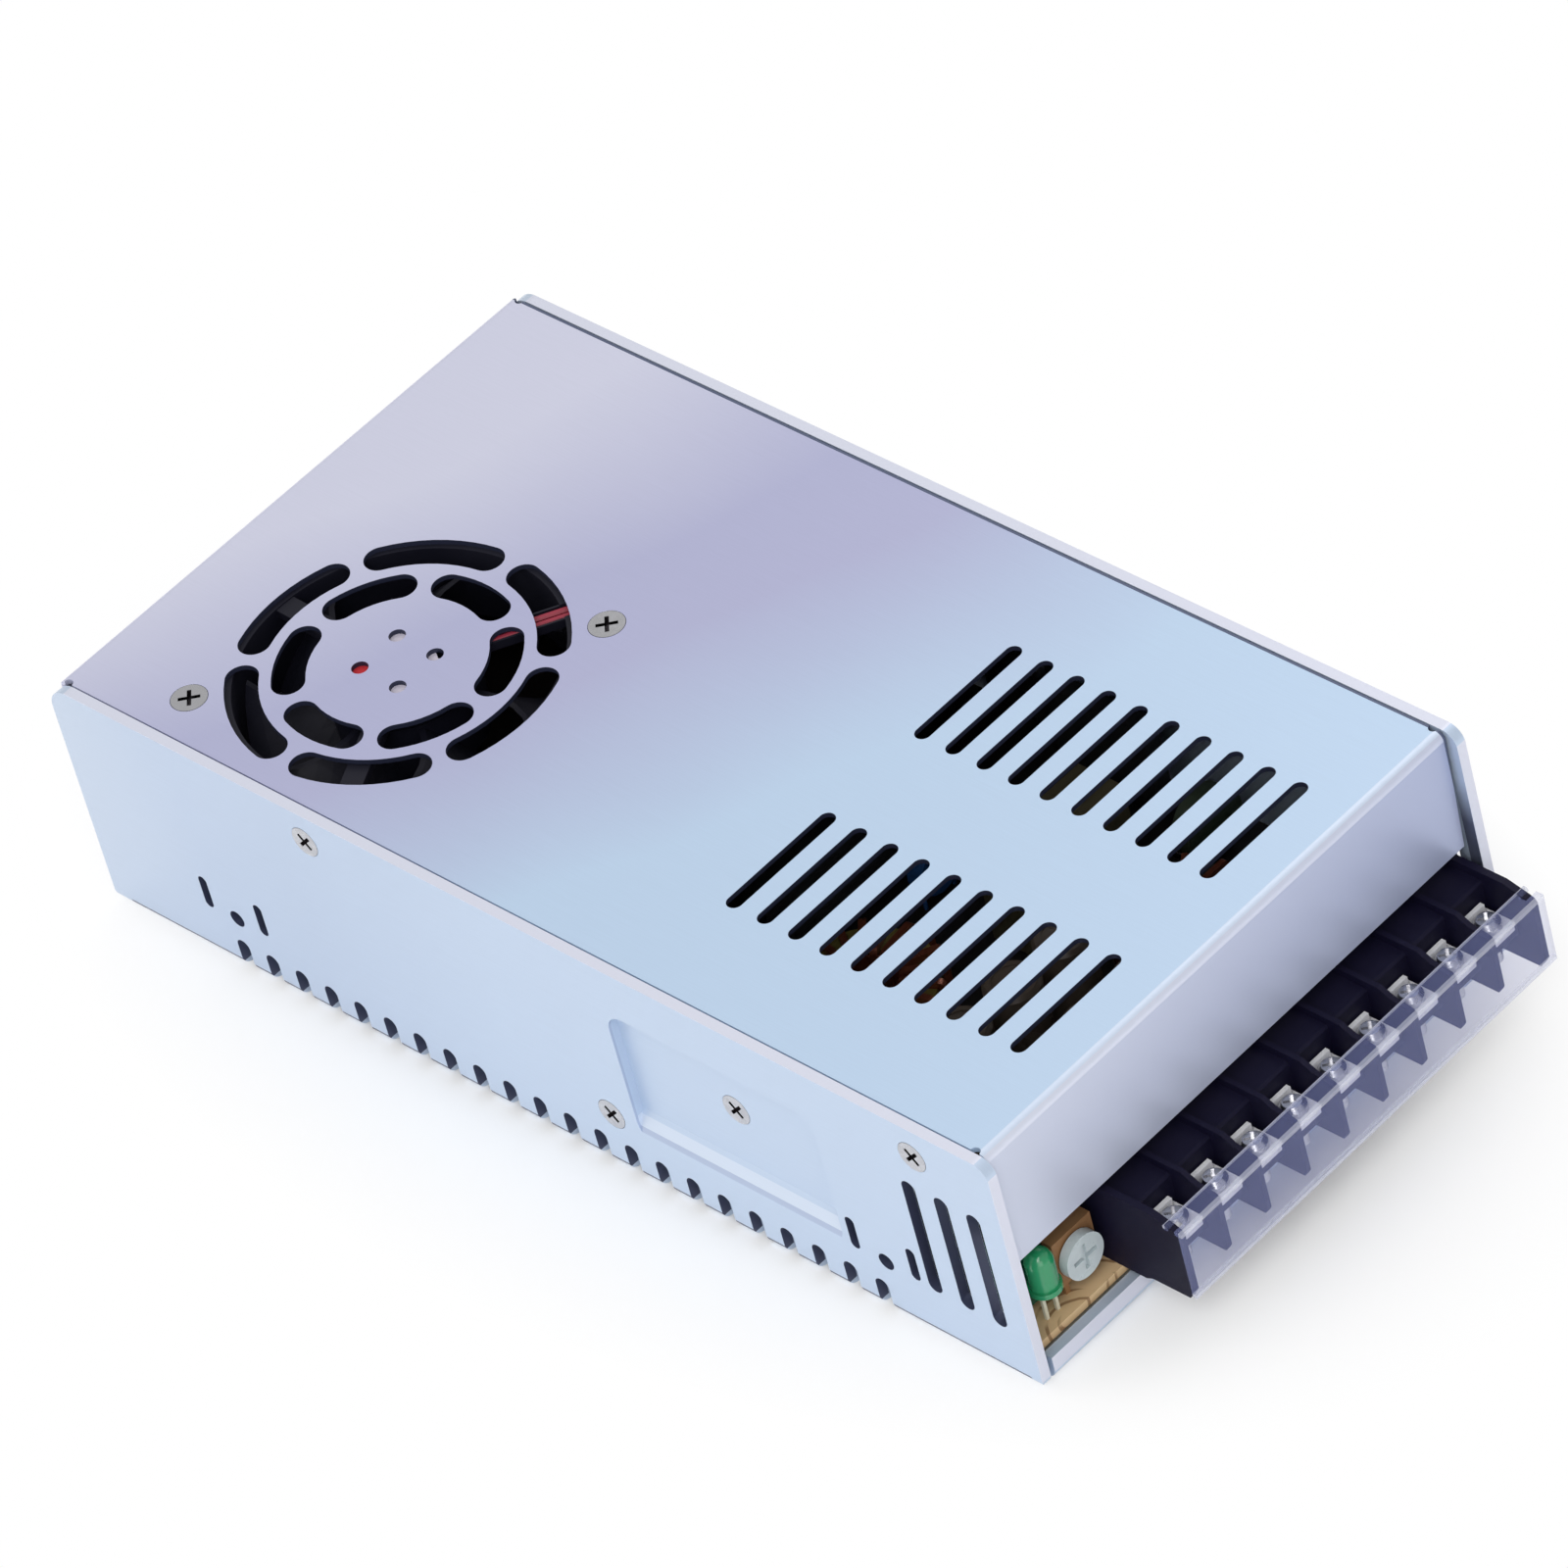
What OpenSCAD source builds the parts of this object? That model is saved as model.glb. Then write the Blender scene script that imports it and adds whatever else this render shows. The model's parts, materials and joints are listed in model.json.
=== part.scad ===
// Enclosed switching power supply: a folded sheet chassis with a slotted cover,
// a top mounted fan, a populated board and a nine way barrier terminal block
// with a hinged clear guard.
// The origin is the middle of the chassis underside, +X runs to the terminals.

/* [Case] */
// Length of the case
case_l = 215; // [212:1:235]
// Width of the case
case_w = 115; // [114:1:130]
// Height of the case
case_h = 50; // [49:0.5:60]
// Thickness of the chassis sheet
sheet_t = 2; // [1.6:0.1:2.2]
// Inside radius of the chassis bends
bend_r = 0.4; // [0.2:0.1:1]
// Height of the lips folded up at both ends of the base
lip_h = 5; // [4:0.1:5.6]
// Width of the relief cut beside each lip
relief_w = 1; // [0.6:0.1:2]
// Radius of the wall corners at the rear top
rear_corner_r = 5; // [1:0.5:8]
// Radius of the wall corners at the terminal end
front_corner_r = 3; // [1:0.5:8]

/* [Cover] */
// Thickness of the cover sheet
cover_t = 1; // [0.8:0.1:1.2]
// Outside radius of the cover bends
cover_bend_r = 1.6; // [1.3:0.1:2.4]
// Gap between the cover and each chassis wall
cover_gap = 0.3; // [0.1:0.1:0.6]
// Set-back of the cover behind the terminal end of the walls
front_recess = 2; // [1:0.1:2.4]
// Set-back of the cover behind the rear end of the walls
rear_recess = 1; // [0.5:0.1:2]
// Height of the lower edge of the cover above the terminals
front_edge_z = 25.6; // [25:0.1:30]
// Narrowing of the front wall towards its lower edge, each side
front_taper = 1; // [0:0.1:2]
// Depth of the side flanges of the cover
flange_h = 11; // [9:0.5:12]
// Distance from the case ends to the side flanges
flange_inset = 9; // [6:0.5:10]

/* [Top vents] */
// Number of slots in each group
slot_count = 10; // [6:1:10]
// Distance from slot to slot
slot_pitch = 6.93; // [5:0.01:7]
// Length of a top slot
slot_l = 25; // [15:1:30]
// Width of a top slot
slot_w = 3; // [2:0.1:4]
// Distance from the terminal end to the nearest slot
slot_front = 13.8; // [10:0.1:20]
// Distance between the middles of the two slot groups
group_pitch = 45.3; // [36:0.1:60]
// Distance from the near wall face to the nearer slot group
group_side = 34.4; // [24:0.1:36]

/* [Fan] */
// Side of the square fan frame
fan_size = 60; // [58:1:62]
// Thickness of the fan
fan_t = 15; // [15:0.5:16]
// Distance between the fan mounting holes
fan_pitch = 50; // [49:0.5:51]
// Distance from the rear end to the fan centre
fan_rear = 49.2; // [44:0.1:52]
// Distance from the near wall face to the fan centre
fan_side = 35.6; // [35:0.1:40]
// Outer radius of the outer ring of arc slots
arc_outer_r = 29.5; // [28:0.1:30]
// Width of the arc slots
arc_w = 5.9; // [4:0.1:6.2]
// Web between the two rings of arc slots
arc_web = 2.1; // [1.5:0.1:4]
// Gap between neighbouring arc slots
arc_gap = 2.5; // [1.5:0.1:5]
// Radius of the four small holes over the hub
hub_hole_r = 1.5; // [1:0.1:2]
// Spacing of the four small holes over the hub
hub_hole_pitch = 9; // [7:0.5:12]
// Number of fan blades
blade_count = 7; // [5:1:9]
// Running gap between blade tips and frame
tip_gap = 1; // [0.6:0.1:2]
// Radius of the rotor hub
hub_r = 13; // [12:0.1:14]

/* [Side walls] */
// Distance between the mounting holes along the case
mount_pitch = 150; // [140:1:155]
// Distance from the terminal end to the nearest mounting holes
mount_front = 31.3; // [30:0.1:35]
// Distance between the mounting holes across the base
mount_pitch_y = 50; // [40:1:60]
// Radius of the mounting holes, tapped for M4
mount_r = 1.65; // [1.5:0.05:2.1]
// Height of the side mounting holes
mount_z = 12.4; // [11:0.1:14]
// Number of vent notches along each bottom bend
notch_count = 22; // [10:1:22]
// Distance from notch to notch
notch_pitch = 7.05; // [6:0.01:7.2]
// Distance from the rear end to the first notch
notch_rear = 32.9; // [28:0.1:36]
// Width of the vent notches
notch_w = 3; // [2:0.1:4]
// Height of the top of the vent notches
notch_top = 6.9; // [5:0.1:8]
// Number of tall slots beside the terminals
tall_count = 3; // [1:1:3]
// Height of a tall slot
tall_h = 25; // [15:1:28]
// Length of the pressed pocket
pocket_l = 46; // [44:1:50]
// Height of the pressed pocket
pocket_h = 29; // [26:0.5:29]
// Depth of the pressed pocket
pocket_d = 2; // [1.5:0.1:3]
// Height of the sloping lower side of the pocket
pocket_slope = 5.6; // [3:0.1:7]
// Corner radius of the pressed pocket
pocket_r = 4; // [1:0.5:6]
// Distance from the terminal end to the pocket centre
pocket_front = 63.5; // [62:0.5:70]
// Height of the pocket centre
pocket_z = 25.2; // [25:0.1:27]

/* [Board] */
// Thickness of the circuit board
board_t = 1.6; // [1.2:0.1:2]
// Height of the stand-offs under the board
standoff_h = 2.7; // [2.4:0.1:4]
// Gap between the board edge and the chassis
board_gap = 0.8; // [0.5:0.1:1.5]
// Thickness of the insulating film on the base
film_t = 0.4; // [0.2:0.1:0.8]

/* [Terminal block] */
// Number of terminals
pole_count = 9; // [5:1:9]
// Distance from terminal to terminal
pole_pitch = 9.6; // [9:0.1:9.6]
// Thickness of the barriers between terminals
fin_t = 2.3; // [1.5:0.1:2.6]
// Distance from the near wall face to the block
block_side = 23; // [22.8:0.1:25]
// Height of the barriers above the board
fin_h = 17; // [16:0.1:18.5]
// Reach of the barriers beyond the case
fin_reach = 13; // [12:0.1:16]
// Depth of the block inside the case
block_depth = 16; // [14:0.5:18]
// Height of the contact plates above the board
contact_h = 8.3; // [7:0.1:9.5]
// Thickness of the clear guard
guard_t = 0.9; // [0.7:0.05:1.2]
// Radius of the guard's hinge rod
rod_r = 0.6; // [0.5:0.05:0.7]
// Running clearance round the hinge rod
rod_gap = 0.05; // [0.02:0.01:0.1]
// Distance from the guard to the barriers
guard_gap = 0.3; // [0.2:0.05:0.5]

/* [Power parts] */
// Radius of the input storage capacitors
bulk_r = 12.5; // [11:0.5:13]
// Height of the input storage capacitors
bulk_h = 35; // [25:1:38]
// Radius of the output capacitors
output_r = 5; // [4:0.5:5.5]
// Height of the output capacitors
output_h = 25; // [16:1:32]
// Outer radius of the output choke core
choke_r = 13; // [11:0.5:14]
// Number of turns on the output choke
choke_turns = 20; // [10:1:22]
// Length of the transformer core
core_l = 40; // [36:1:42]
// Width of the transformer core
core_w = 36; // [32:1:38]
// Height of the transformer core
core_h = 14; // [12:1:16]

/* [Hidden] */
$fn = 48;

// Cutters reach past a face by this much
eps = 1;
near_y = -case_w / 2;
far_y = case_w / 2;
rear_x = -case_l / 2;
front_x = case_l / 2;
inner_y = case_w / 2 - sheet_t;
board_z = sheet_t + standoff_h;
part_z = board_z + board_t;
roof_z = case_h - cover_t;

// Places along the case from either end, and across it from either wall face
function from_rear(d) = rear_x + d;
function from_front(d) = front_x - d;
function from_near(d) = near_y + d;
function from_far(d) = far_y - d;

// Steel colours and plastics
sheet_colour = "#c3cce2";
cover_colour = "#bfc9e3";
black_plastic = "#15161c";
bright_steel = "#d9dade";
copper = "#b5522f";
ferrite = "#2c2d31";

// Screws: shank radius, head radius, head height
cover_screw = [1.4, 2.9, 1.5];
fan_screw = [1.9, 3.2, 1.8];
board_screw = [1.4, 2.8, 1.9];
clamp_screw = [1.4, 2.9, 1.5];
tap_gap = 0.15;
head_gap = 0.1;

// Side features, distances from the rear end and heights
cover_screw_x = [from_rear(60.4), from_front(17.4)];
cover_screw_z = case_h - 6.4;
bracket_screw_x = from_rear(122.3);
bracket_screw_z = 13.1;
mount_x = [from_front(mount_front + mount_pitch), from_front(mount_front)];
tall_x = from_front(6.4);
tall_pitch = 7;
tall_z = 24;
side_slot_off = 6.65;
side_slot_h = 7;
side_slot_w = 2;
side_slot_z = mount_z + 3;
pocket_x = from_front(pocket_front);
pocket_screw_x = pocket_x + 1.6;
pocket_screw_z = pocket_z + 3.5;
pocket_low = pocket_z - pocket_h / 2;
pocket_wall = 1.2;
pocket_top = pocket_z + pocket_h / 2 + pocket_wall;
relief_gap = 0.6;
press_y = near_y + pocket_d + sheet_t;

cover_y = inner_y - cover_gap;
cover_front = from_front(front_recess);
cover_rear = from_rear(rear_recess);
flange_rear = from_rear(flange_inset);
flange_front = from_front(flange_inset);

fan_x = from_rear(fan_rear);
fan_y = from_near(fan_side);
fan_z = roof_z - fan_t;
fan_bore_r = fan_size / 2 - 1.5;
motor_r = hub_r;
motor_t = 2;
strut_w = 4;
strut_t = 1.7;
strut_drop = 0.2;
strut_turn = 58;
shaft_r = 1;
sleeve_r = 2.4;
tube_r = 3.4;
run_gap = 0.05;
cup_gap = 0.8;
cup_wall = 1.4;
magnet_t = 1.6;
cup_top = roof_z - motor_t - cup_gap;
cup_floor = fan_z + 1.2;

block_y = from_near(block_side);
block_gap = 0.5;
// A narrower case takes fewer terminals
poles = min(pole_count, floor((inner_y - block_gap - block_y - fin_t) / pole_pitch));
block_w = poles * pole_pitch + fin_t;
deck_reach = 2.4;
deck_h = fin_h - 1.8;
step_drop = 1.6;
contact_t = 1;
washer_t = 0.8;
shelf_t = 2;
shelf_reach = 8.4;
contact_w = 6.2;
contact_reach = 8.9;
contact_leg = 4;
screw_reach = 6.1;
washer_l = 6.3;
washer_back = 3.4;
washer_w = 6.6;
turn_up = 2.6;
turn_up_w = 5;
turn_up_t = 0.9;
term_screw_head_r = 2.4;
term_screw_head_h = 2;
term_screw_r = 1.5;
ear_reach = 11.4;
inner_reach = 4.8;
inner_lift = 2.6;
rod_x = front_x + fin_reach - 2.5;
rod_z = part_z + fin_h - step_drop + rod_gap + 0.1 + rod_r;
ear_gap = 0.3;
guard_x = front_x + fin_reach + guard_gap;
guard_bottom = part_z + 2.2;

trim_x = from_front(5.6);
trim_y = from_near(17.4);
trim_z = part_z + 7.2;
dial_r = 4.2;
dial_t = 1.8;

core_x = from_rear(103);
core_y = from_near(58);

// Rows of places
function pole_y(i) = block_y + fin_t / 2 + (i + 0.5) * pole_pitch;
function fin_y(i) = block_y + i * pole_pitch;
standoff_places = [
  [from_rear(9), from_near(9)], [from_rear(9), from_far(9)],
  [from_front(58), from_far(14)], [bracket_screw_x - 11, from_near(9)],
  [from_front(28), from_near(9)], [from_front(27), from_far(7)]];
fan_screw_turns = [[-1, -1], [1, 1]];
bulk_places = [[from_rear(40), from_far(17)], [from_rear(68), from_far(17)]];
output_places = [for (x = [24, 41], i = [0 : 3]) [from_front(x), from_near(22 + 12 * i)]];
choke_x = from_front(71.5);
choke_y = from_near(40);
filter_x = from_front(40);
filter_y = from_far(33);
tab_w = 16;
tab_l = 21;
tab_t = 5;

// Outlines -------------------------------------------------------------

// Rectangle from the origin with four equal round corners
module round_rect(w, h, r) {
  translate([r, 0]) square([w - 2 * r, h]);
  translate([0, r]) square([w, h - 2 * r]);
  for (x = [r, w - r], y = [r, h - r]) translate([x, y]) circle(r);
}

// Round ended slot of full length l and width w, along Y, centred
module slot_outline(l, w) {
  square([w, l - w], center = true);
  for (s = [-1, 1]) translate([0, s * (l - w) / 2]) circle(w / 2, $fn = 24);
}

// Cutter for a round ended slot through a horizontal sheet
module flat_slot(l, w, t) {
  translate([0, 0, -eps]) linear_extrude(t + 2 * eps) slot_outline(l, w);
}

// Cutter for an upright round ended slot through a side wall at y >= 0
module wall_slot(l, w, t) {
  translate([0, -eps, 0]) rotate([-90, 0, 0]) linear_extrude(t + 2 * eps)
    slot_outline(l, w);
}

// Countersunk screw pointing down from z = 0, with a cross recess
module flush_screw(s, len) {
  difference() {
    union() {
      translate([0, 0, -s[2]]) cylinder(r1 = s[0], r2 = s[1], h = s[2], $fn = 32);
      translate([0, 0, -len]) cylinder(r = s[0], h = len - s[2] / 2, $fn = 24);
    }
    cross_recess(s[1]);
  }
}

module cross_recess(r) {
  for (a = [45, 135]) rotate(a) translate([-r * 0.6, -r * 0.12, -r * 0.35])
    cube([r * 1.2, r * 0.24, r]);
}

// Cutter for the countersink and shank of such a screw
module flush_hole(s, len) {
  translate([0, 0, -s[2] - head_gap])
    cylinder(r1 = s[0] + head_gap, r2 = s[1] + head_gap + 0.01, h = s[2] + head_gap, $fn = 32);
  translate([0, 0, -len]) cylinder(r = s[0] + tap_gap, h = len, $fn = 24);
  cylinder(r = s[1] + head_gap, h = eps, $fn = 32);
}

// Pan head screw standing on z = 0, shank down
module pan_screw(s, len) {
  difference() {
    union() {
      cylinder(r = s[1], h = s[2] * 0.6, $fn = 32);
      translate([0, 0, s[2] * 0.6]) cylinder(r1 = s[1], r2 = s[1] * 0.7, h = s[2] * 0.4, $fn = 32);
      translate([0, 0, -len]) cylinder(r = s[0], h = len + s[2] / 2, $fn = 24);
    }
    translate([0, 0, s[2]]) cross_recess(s[1]);
  }
}

// Puts children on the near wall face and, mirrored, on the far wall face
module both_walls() {
  for (s = [0, 1]) mirror([0, s, 0]) translate([0, near_y, 0]) children();
}

// Chassis ----------------------------------------------------------------

module channel_outline() {
  outer_r = sheet_t + bend_r;
  difference() {
    union() {
      translate([near_y, outer_r]) square([case_w, case_h - outer_r]);
      translate([near_y + outer_r, 0]) square([case_w - 2 * outer_r, case_h]);
      for (s = [-1, 1]) translate([s * (case_w / 2 - outer_r), outer_r]) circle(outer_r);
    }
    translate([-inner_y, outer_r]) square([2 * inner_y, case_h]);
    translate([-inner_y + bend_r, sheet_t]) square([2 * (inner_y - bend_r), case_h]);
    for (s = [-1, 1]) translate([s * (inner_y - bend_r), outer_r]) circle(bend_r, $fn = 24);
  }
}

module side_outline() {
  outer_r = sheet_t + bend_r;
  union() {
    translate([rear_x, outer_r]) square([case_l, case_h - outer_r - rear_corner_r - front_corner_r]);
    translate([rear_x + outer_r, 0]) square([case_l - 2 * outer_r, case_h / 2]);
    for (x = [rear_x + outer_r, front_x - outer_r]) translate([x, outer_r]) circle(outer_r);
    translate([rear_x + rear_corner_r, case_h / 2])
      square([case_l - rear_corner_r - front_corner_r, case_h / 2]);
    translate([rear_x, case_h / 2]) square([case_l / 2, case_h / 2 - rear_corner_r]);
    translate([0, case_h / 2]) square([front_x, case_h / 2 - front_corner_r]);
    translate([rear_x + rear_corner_r, case_h - rear_corner_r]) circle(rear_corner_r);
    translate([front_x - front_corner_r, case_h - front_corner_r]) circle(front_corner_r);
  }
}

module across_case() {
  rotate([90, 0, 0]) translate([0, 0, -case_w / 2 - eps]) linear_extrude(case_w + 2 * eps) children();
}

module chassis_sheet() {
  lip_w = 2 * (inner_y - relief_w);
  difference() {
    union() {
      translate([rear_x, 0, 0]) rotate([90, 0, 90]) linear_extrude(case_l) channel_outline();
      for (x = [rear_x, front_x - sheet_t]) translate([x, -lip_w / 2, sheet_t / 2])
        cube([sheet_t, lip_w, lip_h - sheet_t / 2]);
      pressed_form(pocket_wall, sheet_t / 2, pocket_d + sheet_t);
    }
    for (x = [rear_x - eps, front_x - sheet_t - bend_r], s = [-1, 1])
      translate([x, s * (inner_y - relief_w / 2) - relief_w / 2, -eps])
        cube([sheet_t + bend_r + eps, relief_w, sheet_t + bend_r + eps]);
    pressed_form(0, -eps, pocket_d);
  }
}

// Body of the pocket grown by a wall, between two depths below the near face,
// with a round cornered outline and a lower side that slopes inwards
module pressed_form(grow, from_d, to_d) {
  low = pocket_low - grow;
  rise = pocket_slope / pocket_d;
  intersection() {
    translate([pocket_x - pocket_l / 2 - grow, near_y + to_d, low]) rotate([90, 0, 0])
      linear_extrude(to_d - from_d) round_rect(pocket_l + 2 * grow, pocket_h + 2 * grow, pocket_r + grow);
    translate([pocket_x - pocket_l, 0, 0]) rotate([90, 0, 90]) linear_extrude(2 * pocket_l)
      polygon([[near_y - eps, low], [near_y + from_d, low], [near_y + to_d, low + rise * (to_d - max(from_d, 0))],
        [near_y + to_d, case_h], [near_y - eps, case_h]]);
  }
}

module chassis() {
  color(sheet_colour)
  difference() {
    intersection() {
      chassis_sheet();
      across_case() side_outline();
    }
    both_walls() {
      for (i = [0 : notch_count - 1]) translate([from_rear(notch_rear) + i * notch_pitch, 0, 0]) vent_notch();
      for (x = mount_x) translate([x, 0, 0]) {
        translate([0, -eps, mount_z]) rotate([-90, 0, 0]) cylinder(r = mount_r, h = sheet_t + 2 * eps, $fn = 32);
        for (d = [-1, 1]) translate([d * side_slot_off, 0, side_slot_z])
          wall_slot(side_slot_h, side_slot_w, sheet_t);
      }
      for (i = [0 : tall_count - 1]) translate([tall_x - i * tall_pitch, 0, tall_z])
        wall_slot(tall_h, slot_w, sheet_t);
      for (x = cover_screw_x) translate([x, 0, cover_screw_z]) rotate([90, 0, 0])
        flush_hole(cover_screw, sheet_t + eps);
    }
    for (x = mount_x, y = [-1, 1]) translate([x, y * mount_pitch_y / 2, -eps])
      cylinder(r = mount_r, h = sheet_t + 2 * eps, $fn = 32);
    for (p = standoff_places) translate([p[0], p[1], -eps])
      cylinder(r = standoff_bore_r, h = sheet_t + 2 * eps, $fn = 24);
    translate([pocket_screw_x, near_y + pocket_d, pocket_screw_z]) rotate([90, 0, 0])
      flush_hole(clamp_screw, sheet_t + eps);
    translate([trans_x, far_y, trans_clamp_z]) rotate([-90, 0, 0]) flush_hole(clamp_screw, sheet_t + eps);
    translate([bracket_screw_x, near_y, bracket_screw_z]) rotate([90, 0, 0])
      flush_hole(clamp_screw, sheet_t + eps);
  }
}

// Vent notch that runs from the wall round the bend and onto the base
module vent_notch() {
  depth = sheet_t + bend_r + 1.5;
  translate([0, -eps, notch_top - notch_w / 2]) rotate([-90, 0, 0])
    cylinder(r = notch_w / 2, h = sheet_t + eps + bend_r, $fn = 24);
  translate([-notch_w / 2, -eps, -eps]) cube([notch_w, depth + eps, sheet_t + eps]);
  translate([-notch_w / 2, -eps, 0]) cube([notch_w, sheet_t + eps + bend_r, notch_top - notch_w / 2]);
}

// Cover ------------------------------------------------------------------

// Inverted channel seen from the side: front wall, top and rear wall
module cover_outline() {
  rear_edge = lip_h + 0.4;
  translate([cover_rear + cover_bend_r, roof_z]) square([cover_front - cover_rear - 2 * cover_bend_r, cover_t]);
  translate([cover_rear, rear_edge]) square([cover_t, case_h - cover_bend_r - rear_edge]);
  translate([cover_front - cover_t, front_edge_z]) square([cover_t, case_h - cover_bend_r - front_edge_z]);
  corner_bend(cover_rear + cover_bend_r, 1);
  corner_bend(cover_front - cover_bend_r, -1);
}

// Quarter ring of a cover bend; side 1 opens to the rear, -1 to the front
module corner_bend(x, side) {
  in_r = cover_bend_r - cover_t;
  intersection() {
    translate([x, case_h - cover_bend_r]) difference() {
      circle(cover_bend_r);
      circle(in_r, $fn = 24);
    }
    translate([side > 0 ? x - cover_bend_r : x, case_h - cover_bend_r])
      square([cover_bend_r, cover_bend_r]);
  }
}

module arc_slot(r_mid, w, span) {
  rotate(-span / 2) rotate_extrude(angle = span)
    translate([r_mid - w / 2, -eps]) square([w, cover_t + 2 * eps]);
  for (s = [-1, 1]) rotate(s * span / 2) translate([r_mid, 0, -eps])
    cylinder(r = w / 2, h = cover_t + 2 * eps, $fn = 24);
}

// Angle between the end circles of an arc slot, six to a ring
function arc_span(r) = 60 - 2 * asin((arc_gap + arc_w) / 2 / r);

module fan_grille() {
  outer_mid = arc_outer_r - arc_w / 2;
  inner_mid = outer_mid - arc_w - arc_web;
  for (i = [0 : 5]) {
    rotate(60 * i) arc_slot(outer_mid, arc_w, arc_span(outer_mid));
    rotate(60 * i + 30) arc_slot(inner_mid, arc_w, arc_span(inner_mid));
  }
  for (x = [-1, 1], y = [-1, 1])
    translate([x * hub_hole_pitch / 2, y * hub_hole_pitch / 2, -eps])
      cylinder(r = hub_hole_r, h = cover_t + 2 * eps, $fn = 24);
}

module top_cover() {
  color(cover_colour)
  difference() {
    union() {
      rotate([90, 0, 0]) translate([0, 0, -cover_y]) linear_extrude(2 * cover_y) cover_outline();
      for (s = [0, 1]) mirror([0, s, 0])
        translate([flange_rear, cover_y - cover_t, roof_z - flange_h])
          cube([flange_front - flange_rear, cover_t, flange_h + cover_t / 2]);
    }
    for (g = [0, 1], i = [0 : slot_count - 1])
      translate([from_front(slot_front) - i * slot_pitch, from_near(group_side) + g * group_pitch, roof_z])
        flat_slot(slot_l, slot_w, cover_t);
    translate([fan_x, fan_y, roof_z]) fan_grille();
    for (t = fan_screw_turns)
      translate([fan_x + t[0] * fan_pitch / 2, fan_y + t[1] * fan_pitch / 2, case_h])
        flush_hole(fan_screw, cover_t + eps);
    for (s = [0, 1]) mirror([0, s, 0]) {
      for (x = [cover_rear + cover_bend_r + 0.6, cover_front - cover_bend_r - 0.6])
        translate([x, cover_y, roof_z - eps]) cylinder(r = 0.9, h = cover_t + 2 * eps, $fn = 24);
      for (x = cover_screw_x) translate([x, cover_y + eps, cover_screw_z])
        rotate([90, 0, 0]) cylinder(r = cover_screw[0] + 0.05, h = cover_t + 2 * eps, $fn = 24);
      front_wall_trim();
    }
    pocket_relief();
  }
}

// Clears the back of the pressed pocket where it rises behind the near flange
module pocket_relief() {
  w = pocket_l + 2 * (pocket_wall + relief_gap);
  translate([pocket_x - w / 2, near_y, roof_z - flange_h - eps])
    cube([w, pocket_d + 2 * sheet_t + cover_gap + cover_t, max(pocket_top + relief_gap - roof_z + flange_h, 0) + eps]);
}

// Wedge that narrows the front wall towards its lower edge
module front_wall_trim() {
  h = case_h - cover_bend_r - front_edge_z;
  translate([cover_front - cover_t - eps / 2, 0, 0]) rotate([90, 0, 90]) linear_extrude(cover_t + eps)
    polygon([[cover_y + eps, front_edge_z - eps], [cover_y - front_taper, front_edge_z - eps],
      [cover_y - front_taper, front_edge_z], [cover_y, front_edge_z + h], [cover_y + eps, front_edge_z + h]]);
}

module cover_screws() {
  color(bright_steel) both_walls() for (x = cover_screw_x) translate([x, 0, cover_screw_z])
    rotate([90, 0, 0]) flush_screw(cover_screw, sheet_t + cover_gap + cover_t + 0.8);
}

// Board ------------------------------------------------------------------

standoff_r = 3;
standoff_bore_r = 1.55;
board_rear = rear_x + sheet_t + board_gap;
board_front = front_x - sheet_t - board_gap;
board_y = inner_y - board_gap;

module insulating_film() {
  color("#e8e6d8") difference() {
    translate([board_rear, -board_y, sheet_t])
      cube([board_front - board_rear, 2 * board_y, film_t]);
    for (p = standoff_places) translate([p[0], p[1], sheet_t - eps])
      cylinder(r = standoff_r + 0.5, h = film_t + 2 * eps, $fn = 24);
    for (x = mount_x, y = [-1, 1]) translate([x, y * mount_pitch_y / 2, sheet_t - eps])
      cylinder(r = 4, h = film_t + 2 * eps, $fn = 24);
  }
}

module board_standoffs() {
  color("#b9bcc6") for (p = standoff_places) translate([p[0], p[1], sheet_t]) difference() {
    cylinder(r = standoff_r, h = standoff_h, $fn = 32);
    translate([0, 0, -eps]) cylinder(r = standoff_bore_r, h = standoff_h + 2 * eps, $fn = 24);
  }
}

module circuit_board() {
  color("#b98a55") difference() {
    translate([board_rear, -board_y, board_z]) cube([board_front - board_rear, 2 * board_y, board_t]);
    for (p = standoff_places) translate([p[0], p[1], board_z - eps])
      cylinder(r = board_screw[0] + 0.25, h = board_t + 2 * eps, $fn = 24);
  }
}

module board_screws() {
  color(bright_steel) for (p = standoff_places) translate([p[0], p[1], part_z])
    pan_screw(board_screw, board_t + standoff_h - 0.4);
}

// Terminal block -----------------------------------------------------------

// Side view of a barrier, x from the case end and y from the board; the
// step takes the guard, and the end barriers keep their height as hinge ears
// and reach down to the board where the inner ones stop short
module fin_outline(at_end) {
  top_reach = at_end ? ear_reach : inner_reach;
  lift = at_end ? 0 : inner_lift;
  polygon([[-block_depth, 0], [deck_reach, 0], [deck_reach + 1, lift], [fin_reach - 0.9, max(lift, 1.2)],
    [fin_reach, max(lift, 1.2) + 1.4],
    [fin_reach, fin_h - step_drop - 0.7], [fin_reach - 0.7, fin_h - step_drop],
    [top_reach + min(3.2, fin_reach - 1 - top_reach), fin_h - step_drop], [top_reach, fin_h], [-block_depth, fin_h]]);
}

module barrier(i, at_end) {
  translate([front_x, fin_y(i) + fin_t, part_z]) rotate([90, 0, 0])
    linear_extrude(fin_t) fin_outline(at_end);
}

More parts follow.
